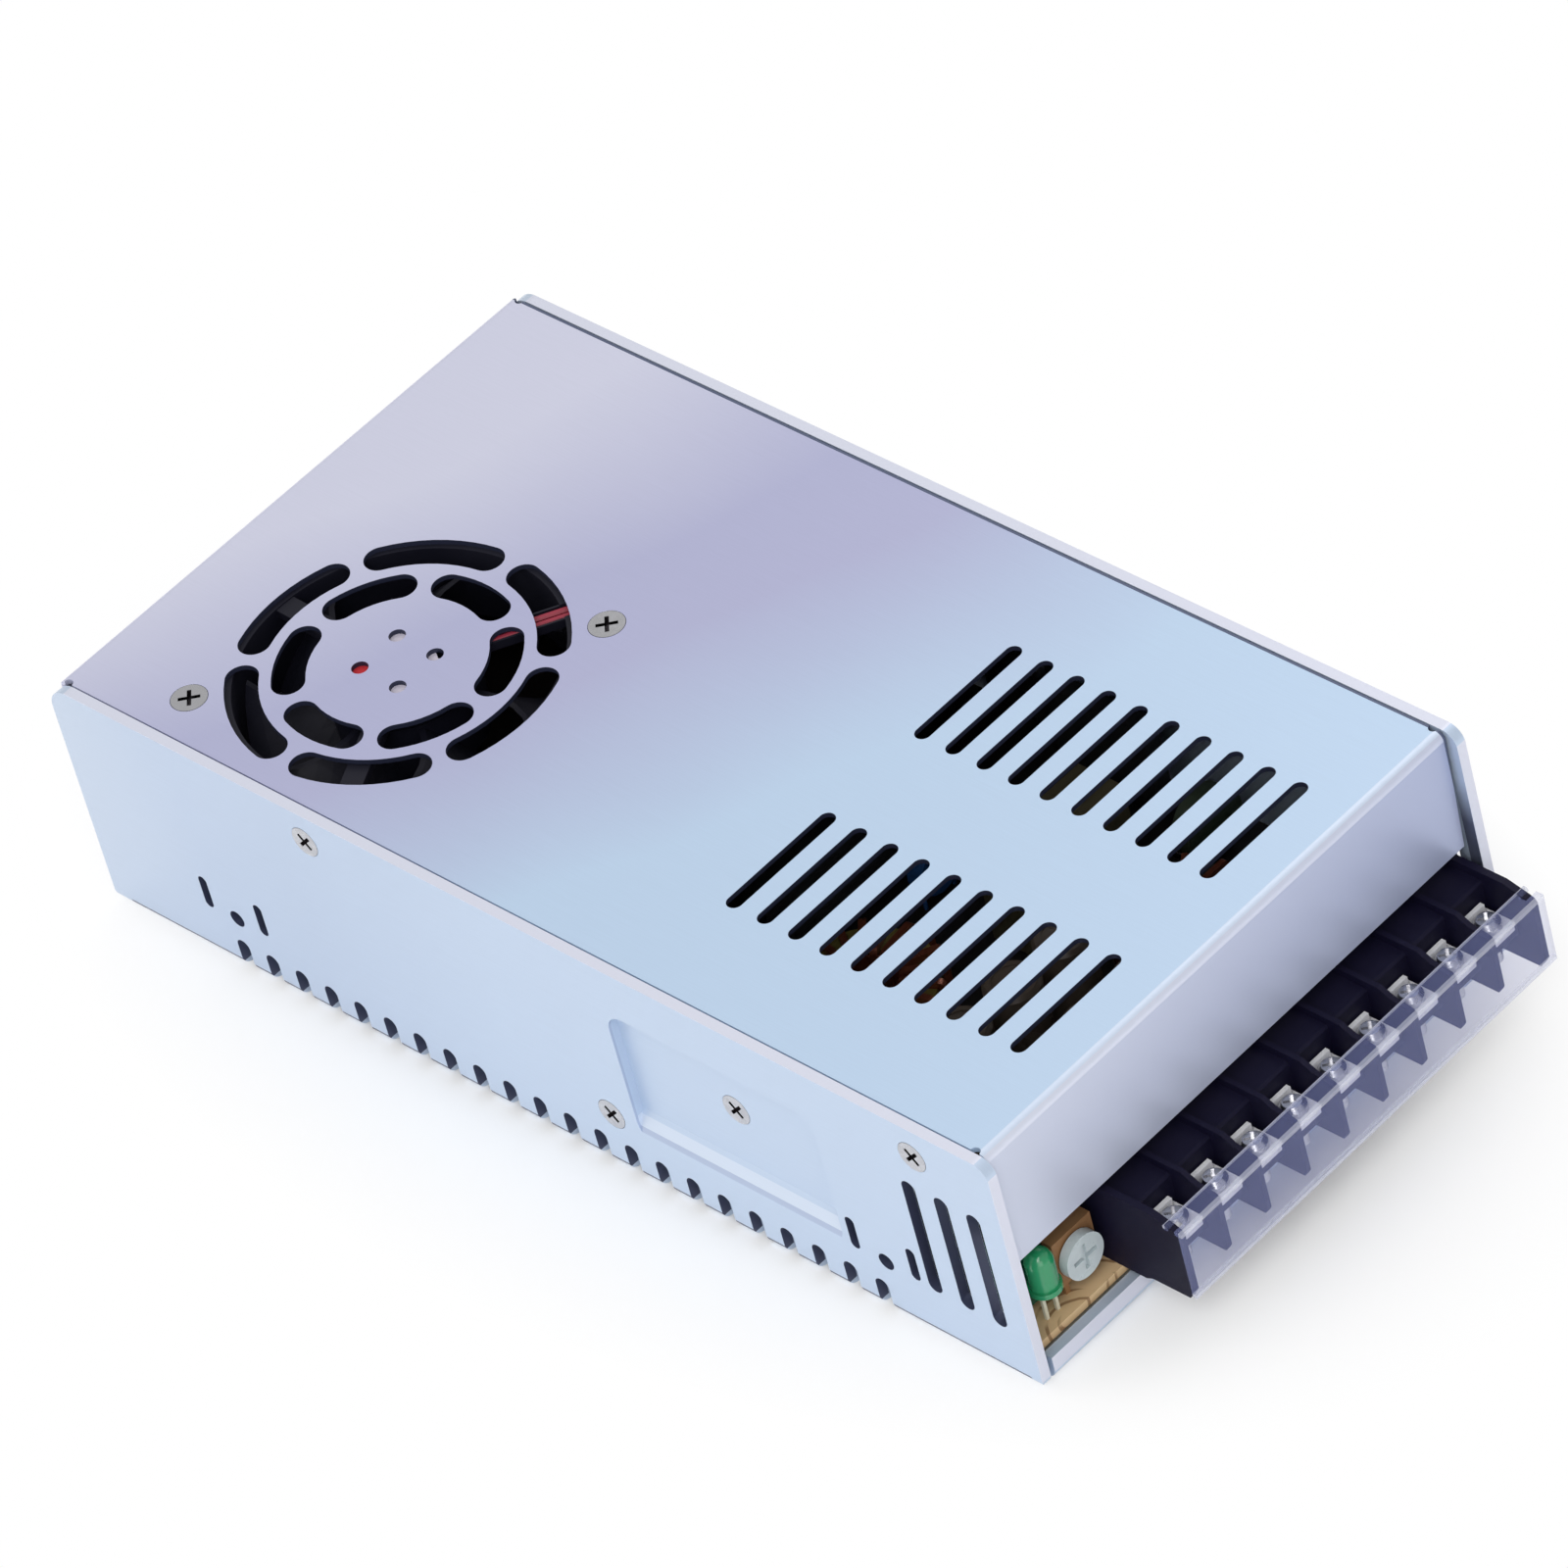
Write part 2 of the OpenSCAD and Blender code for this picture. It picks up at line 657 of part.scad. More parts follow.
module terminal_block() {
  color(black_plastic) difference() {
    union() {
      for (i = [0 : poles]) barrier(i, i == 0 || i == poles);
      translate([front_x - block_depth, block_y + fin_t / 2, part_z])
        cube([block_depth + deck_reach, block_w - fin_t, deck_h]);
      translate([front_x, block_y + fin_t / 2, part_z + contact_h - shelf_t])
        cube([shelf_reach, block_w - fin_t, shelf_t]);
    }
    for (i = [0 : poles - 1]) translate([front_x, pole_y(i), part_z]) {
      translate([-contact_leg - 0.1, -contact_w / 2 - 0.1, contact_h])
        cube([contact_leg + contact_reach, contact_w + 0.2, contact_t + 0.1]);
      translate([-contact_leg - 0.1, -contact_w / 2 - 0.1, -eps])
        cube([contact_t + 0.2, contact_w + 0.2, contact_h + 2 * eps]);
      translate([screw_reach, 0, contact_h - shelf_t - eps])
        cylinder(r = term_screw_r + 0.3, h = shelf_t + 2 * eps, $fn = 24);
    }
    translate([rod_x, block_y - eps, rod_z]) rotate([-90, 0, 0])
      cylinder(r = rod_r + rod_gap, h = block_w + 2 * eps, $fn = 32);
  }
}

module terminal_contacts() {
  color("#cfcfd2") for (i = [0 : poles - 1]) translate([front_x, pole_y(i), part_z]) difference() {
    union() {
      translate([-contact_leg, -contact_w / 2, contact_h]) cube([contact_leg + contact_reach, contact_w, contact_t]);
      translate([-contact_leg, -contact_w / 2, 0]) cube([contact_t, contact_w, contact_h + contact_t / 2]);
    }
    translate([screw_reach, 0, contact_h - eps]) cylinder(r = term_screw_r + 0.1, h = contact_t + 2 * eps, $fn = 24);
  }
}

module clamp_washers() {
  color(bright_steel) for (i = [0 : poles - 1])
    translate([front_x + screw_reach, pole_y(i), part_z + contact_h + contact_t]) difference() {
      union() {
        translate([-washer_back, -washer_w / 2, 0]) cube([washer_l, washer_w, washer_t]);
        translate([-washer_back, -turn_up_w / 2, washer_t / 2]) cube([turn_up_t, turn_up_w, turn_up - washer_t / 2]);
      }
      translate([0, 0, -eps]) cylinder(r = term_screw_r + 0.1, h = washer_t + 2 * eps, $fn = 24);
    }
}

module terminal_screws() {
  color(bright_steel) for (i = [0 : poles - 1])
    translate([front_x + screw_reach, pole_y(i), part_z + contact_h + contact_t + washer_t])
      pan_screw([term_screw_r, term_screw_head_r, term_screw_head_h], 7);
}

// Clear guard: strip over the barriers, front face, and the hinge rod
module terminal_guard() {
  inner_w = block_w - 2 * (fin_t + ear_gap);
  inner_y0 = block_y + fin_t + ear_gap;
  strip_end = front_x + ear_reach + 1 + ear_gap;
  color([0.75, 0.8, 0.95, 0.35]) union() {
    translate([rod_x, inner_y0, rod_z - guard_t / 2]) cube([guard_x + guard_t - rod_x, inner_w, guard_t]);
    translate([strip_end, block_y, rod_z - guard_t / 2]) cube([guard_x + guard_t - strip_end, block_w, guard_t]);
    translate([guard_x, block_y, guard_bottom]) cube([guard_t, block_w, rod_z + guard_t / 2 - guard_bottom]);
    translate([rod_x, block_y + 0.2, rod_z]) rotate([-90, 0, 0]) cylinder(r = rod_r, h = block_w - 0.4, $fn = 32);
  }
}

// Fan ----------------------------------------------------------------------

module fan_frame() {
  color(black_plastic) translate([fan_x, fan_y, 0]) difference() {
    union() {
      difference() {
        translate([-fan_size / 2, -fan_size / 2, fan_z]) linear_extrude(fan_t) round_rect(fan_size, fan_size, 4);
        translate([0, 0, fan_z - eps]) cylinder(r = fan_bore_r, h = fan_t + 2 * eps, $fn = 96);
      }
      translate([0, 0, roof_z - motor_t]) cylinder(r = motor_r, h = motor_t);
      for (a = [0, 120, 240]) rotate(strut_turn + a)
        translate([motor_r - 1, -strut_w / 2, roof_z - strut_drop - strut_t])
          cube([fan_bore_r - motor_r + 1.6, strut_w, strut_t]);
      translate([0, 0, cup_floor + cup_wall + 1.6])
        cylinder(r = tube_r, h = roof_z - motor_t / 2 - cup_floor - cup_wall - 1.6, $fn = 32);
    }
    for (x = [-1, 1], y = [-1, 1]) translate([x * fan_pitch / 2, y * fan_pitch / 2, fan_z - eps])
      cylinder(r = 2.15, h = fan_t + 2 * eps, $fn = 24);
    for (t = fan_screw_turns) translate([t[0] * fan_pitch / 2, t[1] * fan_pitch / 2, case_h])
      flush_hole(fan_screw, fan_screw[2] + cover_t);
    translate([0, 0, cup_floor]) cylinder(r = sleeve_r + run_gap, h = roof_z - motor_t - cup_floor, $fn = 32);
    rotate(strut_turn) translate([motor_r / 2, -lead_notch / 2, roof_z - 1.6]) cube([fan_size, lead_notch, 2 * eps]);
  }
}

module fan_bearing() {
  low = cup_floor + cup_wall + 1.8;
  color("#a58a4c") translate([fan_x, fan_y, low]) difference() {
    cylinder(r = sleeve_r, h = roof_z - motor_t - low, $fn = 32);
    translate([0, 0, -eps]) cylinder(r = shaft_r + run_gap, h = fan_t, $fn = 32);
  }
}

module fan_stator() {
  stator_r = hub_r - cup_wall - magnet_t - 0.7;
  color(copper) translate([fan_x, fan_y, roof_z - motor_t - 7]) difference() {
    union() {
      cylinder(r = tube_r + 1.8, h = 5, $fn = 32);
      for (a = [0 : 90 : 270]) rotate(a) translate([tube_r, -1.5, 0.5]) cube([stator_r - tube_r - 1, 3, 4]);
      for (a = [0 : 90 : 270]) rotate(a) intersection() {
        difference() {
          cylinder(r = stator_r, h = 5);
          translate([0, 0, -eps]) cylinder(r = stator_r - 1.2, h = 5 + 2 * eps);
        }
        translate([0, -4.5, 0]) cube([stator_r + eps, 9, 5]);
      }
    }
    translate([0, 0, -eps]) cylinder(r = tube_r + run_gap, h = 5 + 2 * eps, $fn = 32);
  }
}

// Blade section: a thin arc from the hub to the tip, swept back at the tip
function blade_point(t, side) =
  let (r = hub_r - 0.4 + t * (fan_bore_r - tip_gap - hub_r + 0.4), a = -14 * t * t + side * 0.55 / r * 57.3)
  [r * cos(a), r * sin(a)];
blade_steps = 5;

module fan_blade() {
  steps = blade_steps;
  linear_extrude(height = cup_top - cup_floor - 1, twist = 32, slices = 5, $fn = 12)
    polygon(concat([for (i = [0 : steps]) blade_point(i / steps, -1)],
      [for (i = [steps : -1 : 0]) blade_point(i / steps, 1)]));
}

module fan_rotor() {
  color("#1b1c22") translate([fan_x, fan_y, cup_floor]) {
    difference() {
      union() {
        cylinder(r = hub_r, h = cup_top - cup_floor);
        for (i = [0 : blade_count - 1]) rotate(i * 360 / blade_count) translate([0, 0, 0.3]) fan_blade();
      }
      translate([0, 0, cup_wall]) difference() {
        cylinder(r = hub_r - cup_wall, h = fan_t);
        cylinder(r = shaft_r + 1.5, h = 1.2, $fn = 32);
      }
      translate([0, 0, -eps]) cylinder(r = shaft_r + 0.02, h = fan_t + eps, $fn = 32);
    }
  }
}

module fan_magnet() {
  color("#3a3b40") translate([fan_x, fan_y, cup_floor + cup_wall]) difference() {
    cylinder(r = hub_r - cup_wall, h = cup_top - cup_floor - cup_wall - 1);
    translate([0, 0, -eps]) cylinder(r = hub_r - cup_wall - magnet_t, h = fan_t);
  }
}

module fan_shaft() {
  color(bright_steel) translate([fan_x, fan_y, cup_floor])
    cylinder(r = shaft_r, h = roof_z - motor_t - 0.6 - cup_floor, $fn = 32);
}

module fan_screws() {
  color("#c9b9bb") for (t = fan_screw_turns)
    translate([fan_x + t[0] * fan_pitch / 2, fan_y + t[1] * fan_pitch / 2, case_h])
      flush_screw(fan_screw, 12);
}

// Pair of wires from the motor along a strut, over the frame and down to the header
wire_r = 0.6;
lead_notch = 3.2;
lead_cos = cos(strut_turn);
lead_sin = sin(strut_turn);
lead_exit = (fan_size / 2 + 1.2) / lead_sin;
header_x = fan_x + lead_exit * lead_cos + 2;
header_y = fan_y + fan_size / 2 + 4.4;
header_h = 7;
// Points along the strut are given as distance from the hub, side and height
function strut_point(d, side, z) =
  [fan_x + d * lead_cos - side * lead_sin, fan_y + d * lead_sin + side * lead_cos, z];
function lead_route(side) = [
  strut_point(8, side, roof_z - 0.9),
  strut_point(14, side, roof_z - 0.8),
  strut_point(22, side, roof_z - 0.8),
  strut_point(lead_exit - 3.5, side, roof_z - 0.8),
  strut_point(lead_exit - 0.6, side, roof_z - 0.9),
  strut_point(lead_exit + 0.3, side, roof_z - 2.4),
  strut_point(lead_exit + 0.8, side, roof_z - 5),
  [header_x - 2 + side, header_y - 2.4, fan_z + 3],
  [header_x - 0.4 + side, header_y - 1.8, fan_z - 6],
  [header_x + side, header_y - 0.6, part_z + header_h + 6],
  [header_x + side * 1.1, header_y, part_z + header_h + 2.4],
  [header_x + side * 1.25, header_y, part_z + header_h + 0.1]];

function unit(v) = v / norm(v);
function tangent(path, i) = unit(path[min(i + 1, len(path) - 1)] - path[max(i - 1, 0)]);
// Ring of points about a path point, turned to face along the path
function ring(path, i, r, n) =
  let (t = tangent(path, i), u = unit(cross(t, [lead_sin, -lead_cos, 0.2])), v = cross(t, u))
  [for (k = [0 : n - 1]) path[i] + r * (u * cos(k * 360 / n) + v * sin(k * 360 / n))];

module tube(path, r, n = 8) {
  m = len(path);
  points = [for (i = [0 : m - 1]) each ring(path, i, r, n)];
  left = [for (i = [0 : m - 2], k = [0 : n - 1]) [i * n + k, (i + 1) * n + k, (i + 1) * n + (k + 1) % n]];
  right = [for (i = [0 : m - 2], k = [0 : n - 1]) [i * n + k, (i + 1) * n + (k + 1) % n, i * n + (k + 1) % n]];
  polyhedron(points, concat([[for (k = [0 : n - 1]) k]], left, right,
    [[for (k = [n - 1 : -1 : 0]) (m - 1) * n + k]]));
}

module fan_lead() {
  color("#c2222c") tube(lead_route(-0.8), wire_r);
  color("#15161c") tube(lead_route(0.8), wire_r);
}

module fan_header() {
  color("#efeee6") translate([header_x, header_y, part_z]) difference() {
    translate([-3.7, -2.9, 0]) cube([7.4, 5.8, header_h]);
    translate([-2.5, 1.6, 2]) cube([5, 3, header_h]);
  }
}

// Indicator, trimmer and small parts by the terminals -------------------------

// Carrier plate: thickness, width, height; its legs; the dial's spindle and slot
trim_plate = [2.2, 9.2, 9.6];
trim_leg_w = 1;
trim_leg_pitch = 6;
spindle_r = 1.5;
spindle_l = 3;
dial_gap = 0.3;
dial_slot_l = 5.2;
dial_slot_w = 0.9;
dial_slot_depth = 0.7;

module trimmer_body() {
  t = trim_plate[0];
  w = trim_plate[1];
  color("#8a5a33") difference() {
    union() {
      translate([trim_x - t, trim_y - w / 2, trim_z - w / 2]) cube(trim_plate);
      for (s = [-1, 1])
        translate([trim_x - t + 0.6, trim_y + s * trim_leg_pitch / 2 - trim_leg_w / 2, part_z])
          cube([trim_leg_w, trim_leg_w, trim_z - part_z - 4]);
    }
    translate([trim_x - t - eps, trim_y, trim_z]) rotate([0, 90, 0])
      cylinder(r = spindle_r + run_gap, h = t + 2 * eps, $fn = 32);
  }
}

module trimmer_dial() {
  color("#c9cfd4") difference() {
    union() {
      translate([trim_x + dial_gap, trim_y, trim_z]) rotate([0, 90, 0]) cylinder(r = dial_r, h = dial_t);
      translate([trim_x - trim_plate[0], trim_y, trim_z]) rotate([0, 90, 0])
        cylinder(r = spindle_r, h = spindle_l, $fn = 32);
    }
    for (a = [0, 90]) translate([trim_x + dial_gap + dial_t - dial_slot_depth, trim_y, trim_z]) rotate([a, 0, 0])
      translate([0, -dial_slot_l / 2, -dial_slot_w / 2]) cube([eps * 2, dial_slot_l, dial_slot_w]);
  }
}

led_x = from_front(5.4);
led_y = from_near(9.6);
led_r = 2.5;
led_h = 6.1;
led_rim = 0.4;
led_lift = 6;
led_leg = 0.6;
led_pitch = 2.54;

module status_led() {
  color("#1f8a55") translate([led_x, led_y, part_z + led_lift]) {
    cylinder(r = led_r + led_rim, h = 1, $fn = 32);
    cylinder(r = led_r, h = led_h, $fn = 32);
    translate([0, 0, led_h]) sphere(r = led_r, $fn = 32);
  }
  color(bright_steel) for (s = [-1, 1])
    translate([led_x - led_leg / 2, led_y + s * led_pitch / 2 - led_leg / 2, part_z])
      cube([led_leg, led_leg, led_lift + 0.5]);
}

film_size = [4, 14, 15];
film_leg_pitch = 8;

module film_capacitor() {
  color("#0f5a44") translate([from_front(12.4), from_near(5), part_z]) {
    translate([0, 0, 1.2]) cube(film_size);
    for (s = [-1, 1]) translate([film_size[0] / 2, (film_size[1] + s * film_leg_pitch) / 2, 0])
      cylinder(r = 0.4, h = 2, $fn = 16);
  }
}

// Magnetics ----------------------------------------------------------------

bobbin_foot = 4;
bobbin_z = part_z + bobbin_foot;
// Core: end walls, side walls, centre leg, and the room for the coil over and under
core_end = 6;
core_side = 5;
core_leg = 12;
coil_room = 4;
// Bobbin: flanges, gaps to the core, pin rails and pins
flange_t = 1.8;
core_gap = 0.3;
leg_gap = 0.1;
flange_x = core_l / 2 - core_end - core_gap - flange_t / 2;
flange_side = core_side + 0.5;
rail_w = 6.2;
rail_h = 3;
rail_drop = 0.6;
rail_x = core_l / 2 - rail_w / 2 - core_gap;
pin_count = 6;
pin_inset = 4;
pin_r = 0.5;
coil_side = core_side + 0.6;
coil_build = coil_room - 0.4;
coil_r = 4;

module transformer_core() {
  window = (core_w - core_leg) / 2 - core_side;
  color(ferrite) translate([core_x - core_l / 2, core_y - core_w / 2, bobbin_z + coil_room]) difference() {
    cube([core_l, core_w, core_h]);
    for (y = [core_side, (core_w + core_leg) / 2]) translate([core_end, y, -eps])
      cube([core_l - 2 * core_end, window, core_h + 2 * eps]);
  }
}

module transformer_bobbin() {
  leg_w = core_leg + 2 * leg_gap;
  pin_step = (core_w - 2 * pin_inset) / (pin_count - 1);
  color("#2a241d") translate([core_x, core_y, 0]) for (s = [-1, 1]) {
    difference() {
      translate([s * flange_x - flange_t / 2, -core_w / 2 + flange_side, bobbin_z])
        cube([flange_t, core_w - 2 * flange_side, core_h + 2 * coil_room]);
      translate([s * flange_x - 2, -leg_w / 2, bobbin_z + coil_room - leg_gap])
        cube([4, leg_w, core_h + 2 * leg_gap]);
    }
    translate([s * rail_x - rail_w / 2, -core_w / 2, bobbin_z - rail_drop]) cube([rail_w, core_w, rail_h]);
    for (i = [0 : pin_count - 1]) translate([s * rail_x, -core_w / 2 + pin_inset + i * pin_step, part_z])
      cylinder(r = pin_r, h = bobbin_foot, $fn = 16);
  }
}

module transformer_winding() {
  l = core_l - 2 * (core_end + core_gap + flange_t + leg_gap);
  leg_w = core_leg + 2 * leg_gap;
  color("#e0c24a") translate([core_x - l / 2, core_y, bobbin_z + coil_room + core_h / 2]) rotate([90, 0, 90])
    difference() {
      linear_extrude(l) translate([-core_w / 2 + coil_side, -core_h / 2 - coil_build])
        round_rect(core_w - 2 * coil_side, core_h + 2 * coil_build, coil_r);
      translate([-leg_w / 2, -core_h / 2 - leg_gap, -eps])
        cube([leg_w, core_h + 2 * leg_gap, l + 2 * eps]);
    }
}

turn_gap = 0.2;

// Ring core lying flat, and flat loops of wire round its section
module ring_core(r_out, r_in, h) {
  difference() {
    cylinder(r = r_out, h = h);
    translate([0, 0, -eps]) cylinder(r = r_in, h = h + 2 * eps);
  }
}

module ring_turns(r_out, r_in, h, turns, wire, from, to) {
  w = r_out - r_in + 2 * turn_gap;
  tall = h + 2 * turn_gap;
  rotate(from) rotate_extrude(angle = to - from)
    translate([r_in - wire * 0.8 - turn_gap, 0.3]) square([wire * 0.5, h - 0.6]);
  for (i = [0 : turns - 1]) rotate(from + (to - from) * i / max(turns - 1, 1))
    translate([r_in - wire - turn_gap, wire / 2, -wire - turn_gap]) rotate([90, 0, 0])
      linear_extrude(wire) difference() {
        round_rect(w + 2 * wire, tall + 2 * wire, wire);
        translate([wire, wire]) square([w, tall]);
      }
}

choke_h = 12;
choke_in = choke_r * 0.58;
choke_wire = 1.3;
choke_z = part_z + choke_wire + turn_gap;

module output_choke_core() {
  color("#d8c23e") translate([choke_x, choke_y, choke_z]) ring_core(choke_r, choke_in, choke_h);
}

module output_choke_winding() {
  color(copper) translate([choke_x, choke_y, choke_z])
    ring_turns(choke_r, choke_in, choke_h, choke_turns, choke_wire, 10, 350 - 360 / choke_turns * 0.5);
}

filter_r = 11;
filter_in = 6.5;
filter_wire = 1;
filter_turns = 9;
filter_h = 10;
filter_z = part_z + filter_wire + turn_gap;

module filter_choke_core() {
  color("#23362b") translate([filter_x, filter_y, filter_z]) ring_core(filter_r, filter_in, filter_h);
}

module filter_choke_winding() {
  color("#a5452c") translate([filter_x, filter_y, filter_z])
    for (a = [20, 200]) ring_turns(filter_r, filter_in, filter_h, filter_turns, filter_wire, a, a + 140);
}

module drive_transformer() {
  color("#e0c24a") translate([from_rear(26), from_near(22), part_z]) {
    translate([-8, -6.5, 0]) cube([16, 13, 3]);
    translate([-5.5, -8, 3]) cube([11, 16, 10]);
    translate([-8, -2.5, 3]) cube([16, 5, 12]);
  }
}

// Capacitors -----------------------------------------------------------------

// Standing can capacitor with a crimp groove and a rounded sleeve edge
module can(r, h) {
  rotate_extrude() polygon([[0, 0], [r - 0.4, 0], [r, 0.6], [r, 2], [r - 0.6, 2.6], [r, 3.2],
    [r, h - 0.8], [r - 0.6, h], [r - 1.6, h], [r - 1.6, h - 0.3], [0, h - 0.3]]);
}

module bulk_capacitors() {
  color("#20242e") for (p = bulk_places) translate([p[0], p[1], part_z]) can(bulk_r, bulk_h);
}

module output_capacitors() {
  color("#5b5348") for (p = output_places) translate([p[0], p[1], part_z]) can(output_r, output_h);
}

module small_capacitors() {
  color("#2f3a5a") for (p = [[46, 14], [46, 26], [60, 14]])
    translate([from_rear(p[0]), from_near(p[1]), part_z]) can(4, 12);
}

line_size = [10, 26, 18];
line_leg_pitch = 22;

module line_capacitor() {
  color("#d7c25a") translate([from_front(66), from_far(34), part_z]) {
    translate([-line_size[0] / 2, -line_size[1] / 2, 0.5]) cube(line_size);
    for (s = [-1, 1]) translate([0, s * line_leg_pitch / 2, 0]) cylinder(r = 0.5, h = 1, $fn = 16);
  }
}

disc_r = 4.5;
disc_t = 3.2;
disc_lift = 6.5;
disc_pitch = 7;

module disc_capacitors() {
  color("#2d62a8") for (p = [[86, 44], [86, 34]]) translate([from_front(p[0]), from_far(p[1]), part_z]) {
    translate([-disc_t / 2, 0, disc_lift]) rotate([0, 90, 0]) cylinder(r = disc_r, h = disc_t, $fn = 32);
    for (s = [-1, 1]) translate([0, s * disc_pitch / 2, 0]) cylinder(r = 0.4, h = 5, $fn = 16);
  }
}

// Input protection -------------------------------------------------------------

fuse_x = from_front(23);
fuse_y = from_far(28);
fuse_z = part_z + 4.6;
fuse_r = 2.3;
fuse_l = 20;
clip_pitch = 16;
clip_w = 4.4;
clip_side = 6.2;
clip_mouth = 3.4;

module fuse_link() {
  color([0.9, 0.92, 0.95, 0.6]) translate([fuse_x, fuse_y - fuse_l / 2, fuse_z]) rotate([-90, 0, 0])
    cylinder(r = fuse_r, h = fuse_l, $fn = 32);
}

module fuse_clips() {
  color(bright_steel) for (s = [-1, 1]) translate([fuse_x, fuse_y + s * clip_pitch / 2, 0]) difference() {
    translate([-clip_side / 2, -clip_w / 2, part_z]) cube([clip_side, clip_w, fuse_z - part_z + 2.2]);
    translate([0, -3, fuse_z]) rotate([-90, 0, 0]) cylinder(r = fuse_r + run_gap, h = 6, $fn = 32);
    translate([-clip_mouth / 2, -3, fuse_z]) cube([clip_mouth, 6, 6]);
  }
}

module inrush_thermistor() {
  color("#3c4a36") translate([from_front(58), from_far(13), part_z]) {
    translate([4, 0, 8]) rotate([0, 90, 0]) cylinder(r = 6.5, h = 4, $fn = 32);
    for (y = [-3.5, 3.5]) translate([6, y, 0]) cylinder(r = 0.5, h = 5, $fn = 16);
  }
}

// Semiconductors -----------------------------------------------------------------

rect_z = pocket_screw_z - 13;
rect_places = [pocket_screw_x - 12, pocket_screw_x + 12];
trans_x = from_rear(104);
trans_clamp_z = 24;
trans_places = [trans_x - 12, trans_x + 12];

// Flat power package against a wall at y = 0, leads down to the board
module power_package(z) {
  translate([-tab_w / 2, 0, z]) cube([tab_w, tab_t, tab_l]);
  for (x = [-5.4, 0, 5.4]) translate([x - 0.6, 2, part_z]) cube([1.2, 0.7, z - part_z + eps]);
}

module output_rectifiers() {
  color("#1d1e22") for (x = rect_places) translate([x, press_y, 0]) power_package(rect_z);
}

clamp_bar = [40, 2, 9];
screw_tip = 0.6;

// Spring bar over the packages, on its wall side at y = 0, screwed in its middle
module clamp_plate() {
  color("#b7bcc8") difference() {
    translate([-clamp_bar[0] / 2, 0, -clamp_bar[2] / 2]) cube(clamp_bar);
    translate([0, -eps, 0]) rotate([-90, 0, 0])
      cylinder(r = clamp_screw[0] + 0.05, h = clamp_bar[1] + 2 * eps, $fn = 24);
  }
}

module rectifier_clamp() {
  translate([pocket_screw_x, press_y + tab_t, pocket_screw_z]) clamp_plate();
}

module power_transistors() {
  color("#1d1e22") mirror([0, 1, 0]) for (x = trans_places) translate([x, -inner_y, 0])
    power_package(trans_clamp_z - 13);
}

module transistor_clamp() {
  mirror([0, 1, 0]) translate([trans_x, -inner_y + tab_t, trans_clamp_z]) clamp_plate();
}

module clamp_screws() {
  reach = sheet_t + tab_t + clamp_bar[1] + screw_tip;
  color(bright_steel) {
    translate([pocket_screw_x, near_y + pocket_d, pocket_screw_z]) rotate([90, 0, 0])
      flush_screw(clamp_screw, reach);
    translate([trans_x, far_y, trans_clamp_z]) rotate([-90, 0, 0]) flush_screw(clamp_screw, reach);
    translate([bracket_screw_x, near_y, bracket_screw_z]) rotate([90, 0, 0])
      flush_screw(clamp_screw, sheet_t + bracket_t + screw_tip);
  }
}

bracket_t = 1;
bracket_w = 8;
bracket_foot = 6;

// Small angle screwed to the near wall, its foot soldered to the board
module side_bracket() {
  color("#b7bcc8") translate([bracket_screw_x, -inner_y, 0]) difference() {
    union() {
      translate([-bracket_w / 2, 0, part_z]) cube([bracket_w, bracket_t, bracket_screw_z + bracket_w / 2 - part_z]);
      translate([-bracket_w / 2, 0, part_z]) cube([bracket_w, bracket_foot, bracket_t]);
    }
    translate([0, -eps, bracket_screw_z]) rotate([-90, 0, 0])
      cylinder(r = clamp_screw[0] + 0.05, h = bracket_t + 2 * eps, $fn = 24);
  }
}

module bridge_rectifier() {
  color("#22242a") translate([from_front(74), from_far(13), part_z]) {
    translate([-11, 0, 4]) cube([22, 3.6, 19]);
    for (x = [-7.5, -2.5, 2.5, 7.5]) translate([x, 1.5, 0]) cylinder(r = 0.6, h = 5, $fn = 16);
  }
}

module control_chips() {
  color("#1d1e22") {
    translate([from_rear(40), from_near(44), part_z]) chip(20, 6.4);
    for (i = [0 : 2]) translate([from_rear(66), from_near(34 + 10 * i), part_z]) chip(5, 6.4);
  }
}

// Dual in line package on short legs, centred
module chip(l, w) {
  translate([-l / 2, -w / 2, 0.6]) cube([l, w, 3.4]);
  for (s = [-1, 1], x = [-l / 2 + 1.2, l / 2 - 1.2])
    translate([x - 0.3, s * (w / 2 - 0.3) - 0.3, 0]) cube([0.6, 0.6, 1]);
}

resistor_r = 2.6;
resistor_l = 12;

module power_resistors() {
  color("#c8c2b4") for (i = [0 : 2]) translate([from_rear(20), from_near(44 + 9 * i), part_z])
    translate([-resistor_l / 2, 0, resistor_r]) rotate([0, 90, 0]) cylinder(r = resistor_r, h = resistor_l, $fn = 32);
}

chassis();
top_cover();
cover_screws();
insulating_film();
board_standoffs();
circuit_board();
board_screws();
terminal_block();
terminal_contacts();
clamp_washers();
terminal_screws();
terminal_guard();
fan_frame();
fan_bearing();
fan_stator();
fan_rotor();
fan_magnet();
fan_shaft();
fan_screws();
fan_lead();
fan_header();
trimmer_body();
trimmer_dial();
status_led();
film_capacitor();
transformer_core();
transformer_bobbin();
transformer_winding();
output_choke_core();
output_choke_winding();
filter_choke_core();
filter_choke_winding();
bulk_capacitors();
output_capacitors();
line_capacitor();
disc_capacitors();
fuse_link();
fuse_clips();
inrush_thermistor();
bridge_rectifier();
output_rectifiers();
rectifier_clamp();
power_transistors();
transistor_clamp();
clamp_screws();
side_bracket();
drive_transformer();
control_chips();
small_capacitors();
power_resistors();
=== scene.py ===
import bpy
import json
import math
import numpy as np
from mathutils import Matrix, Vector


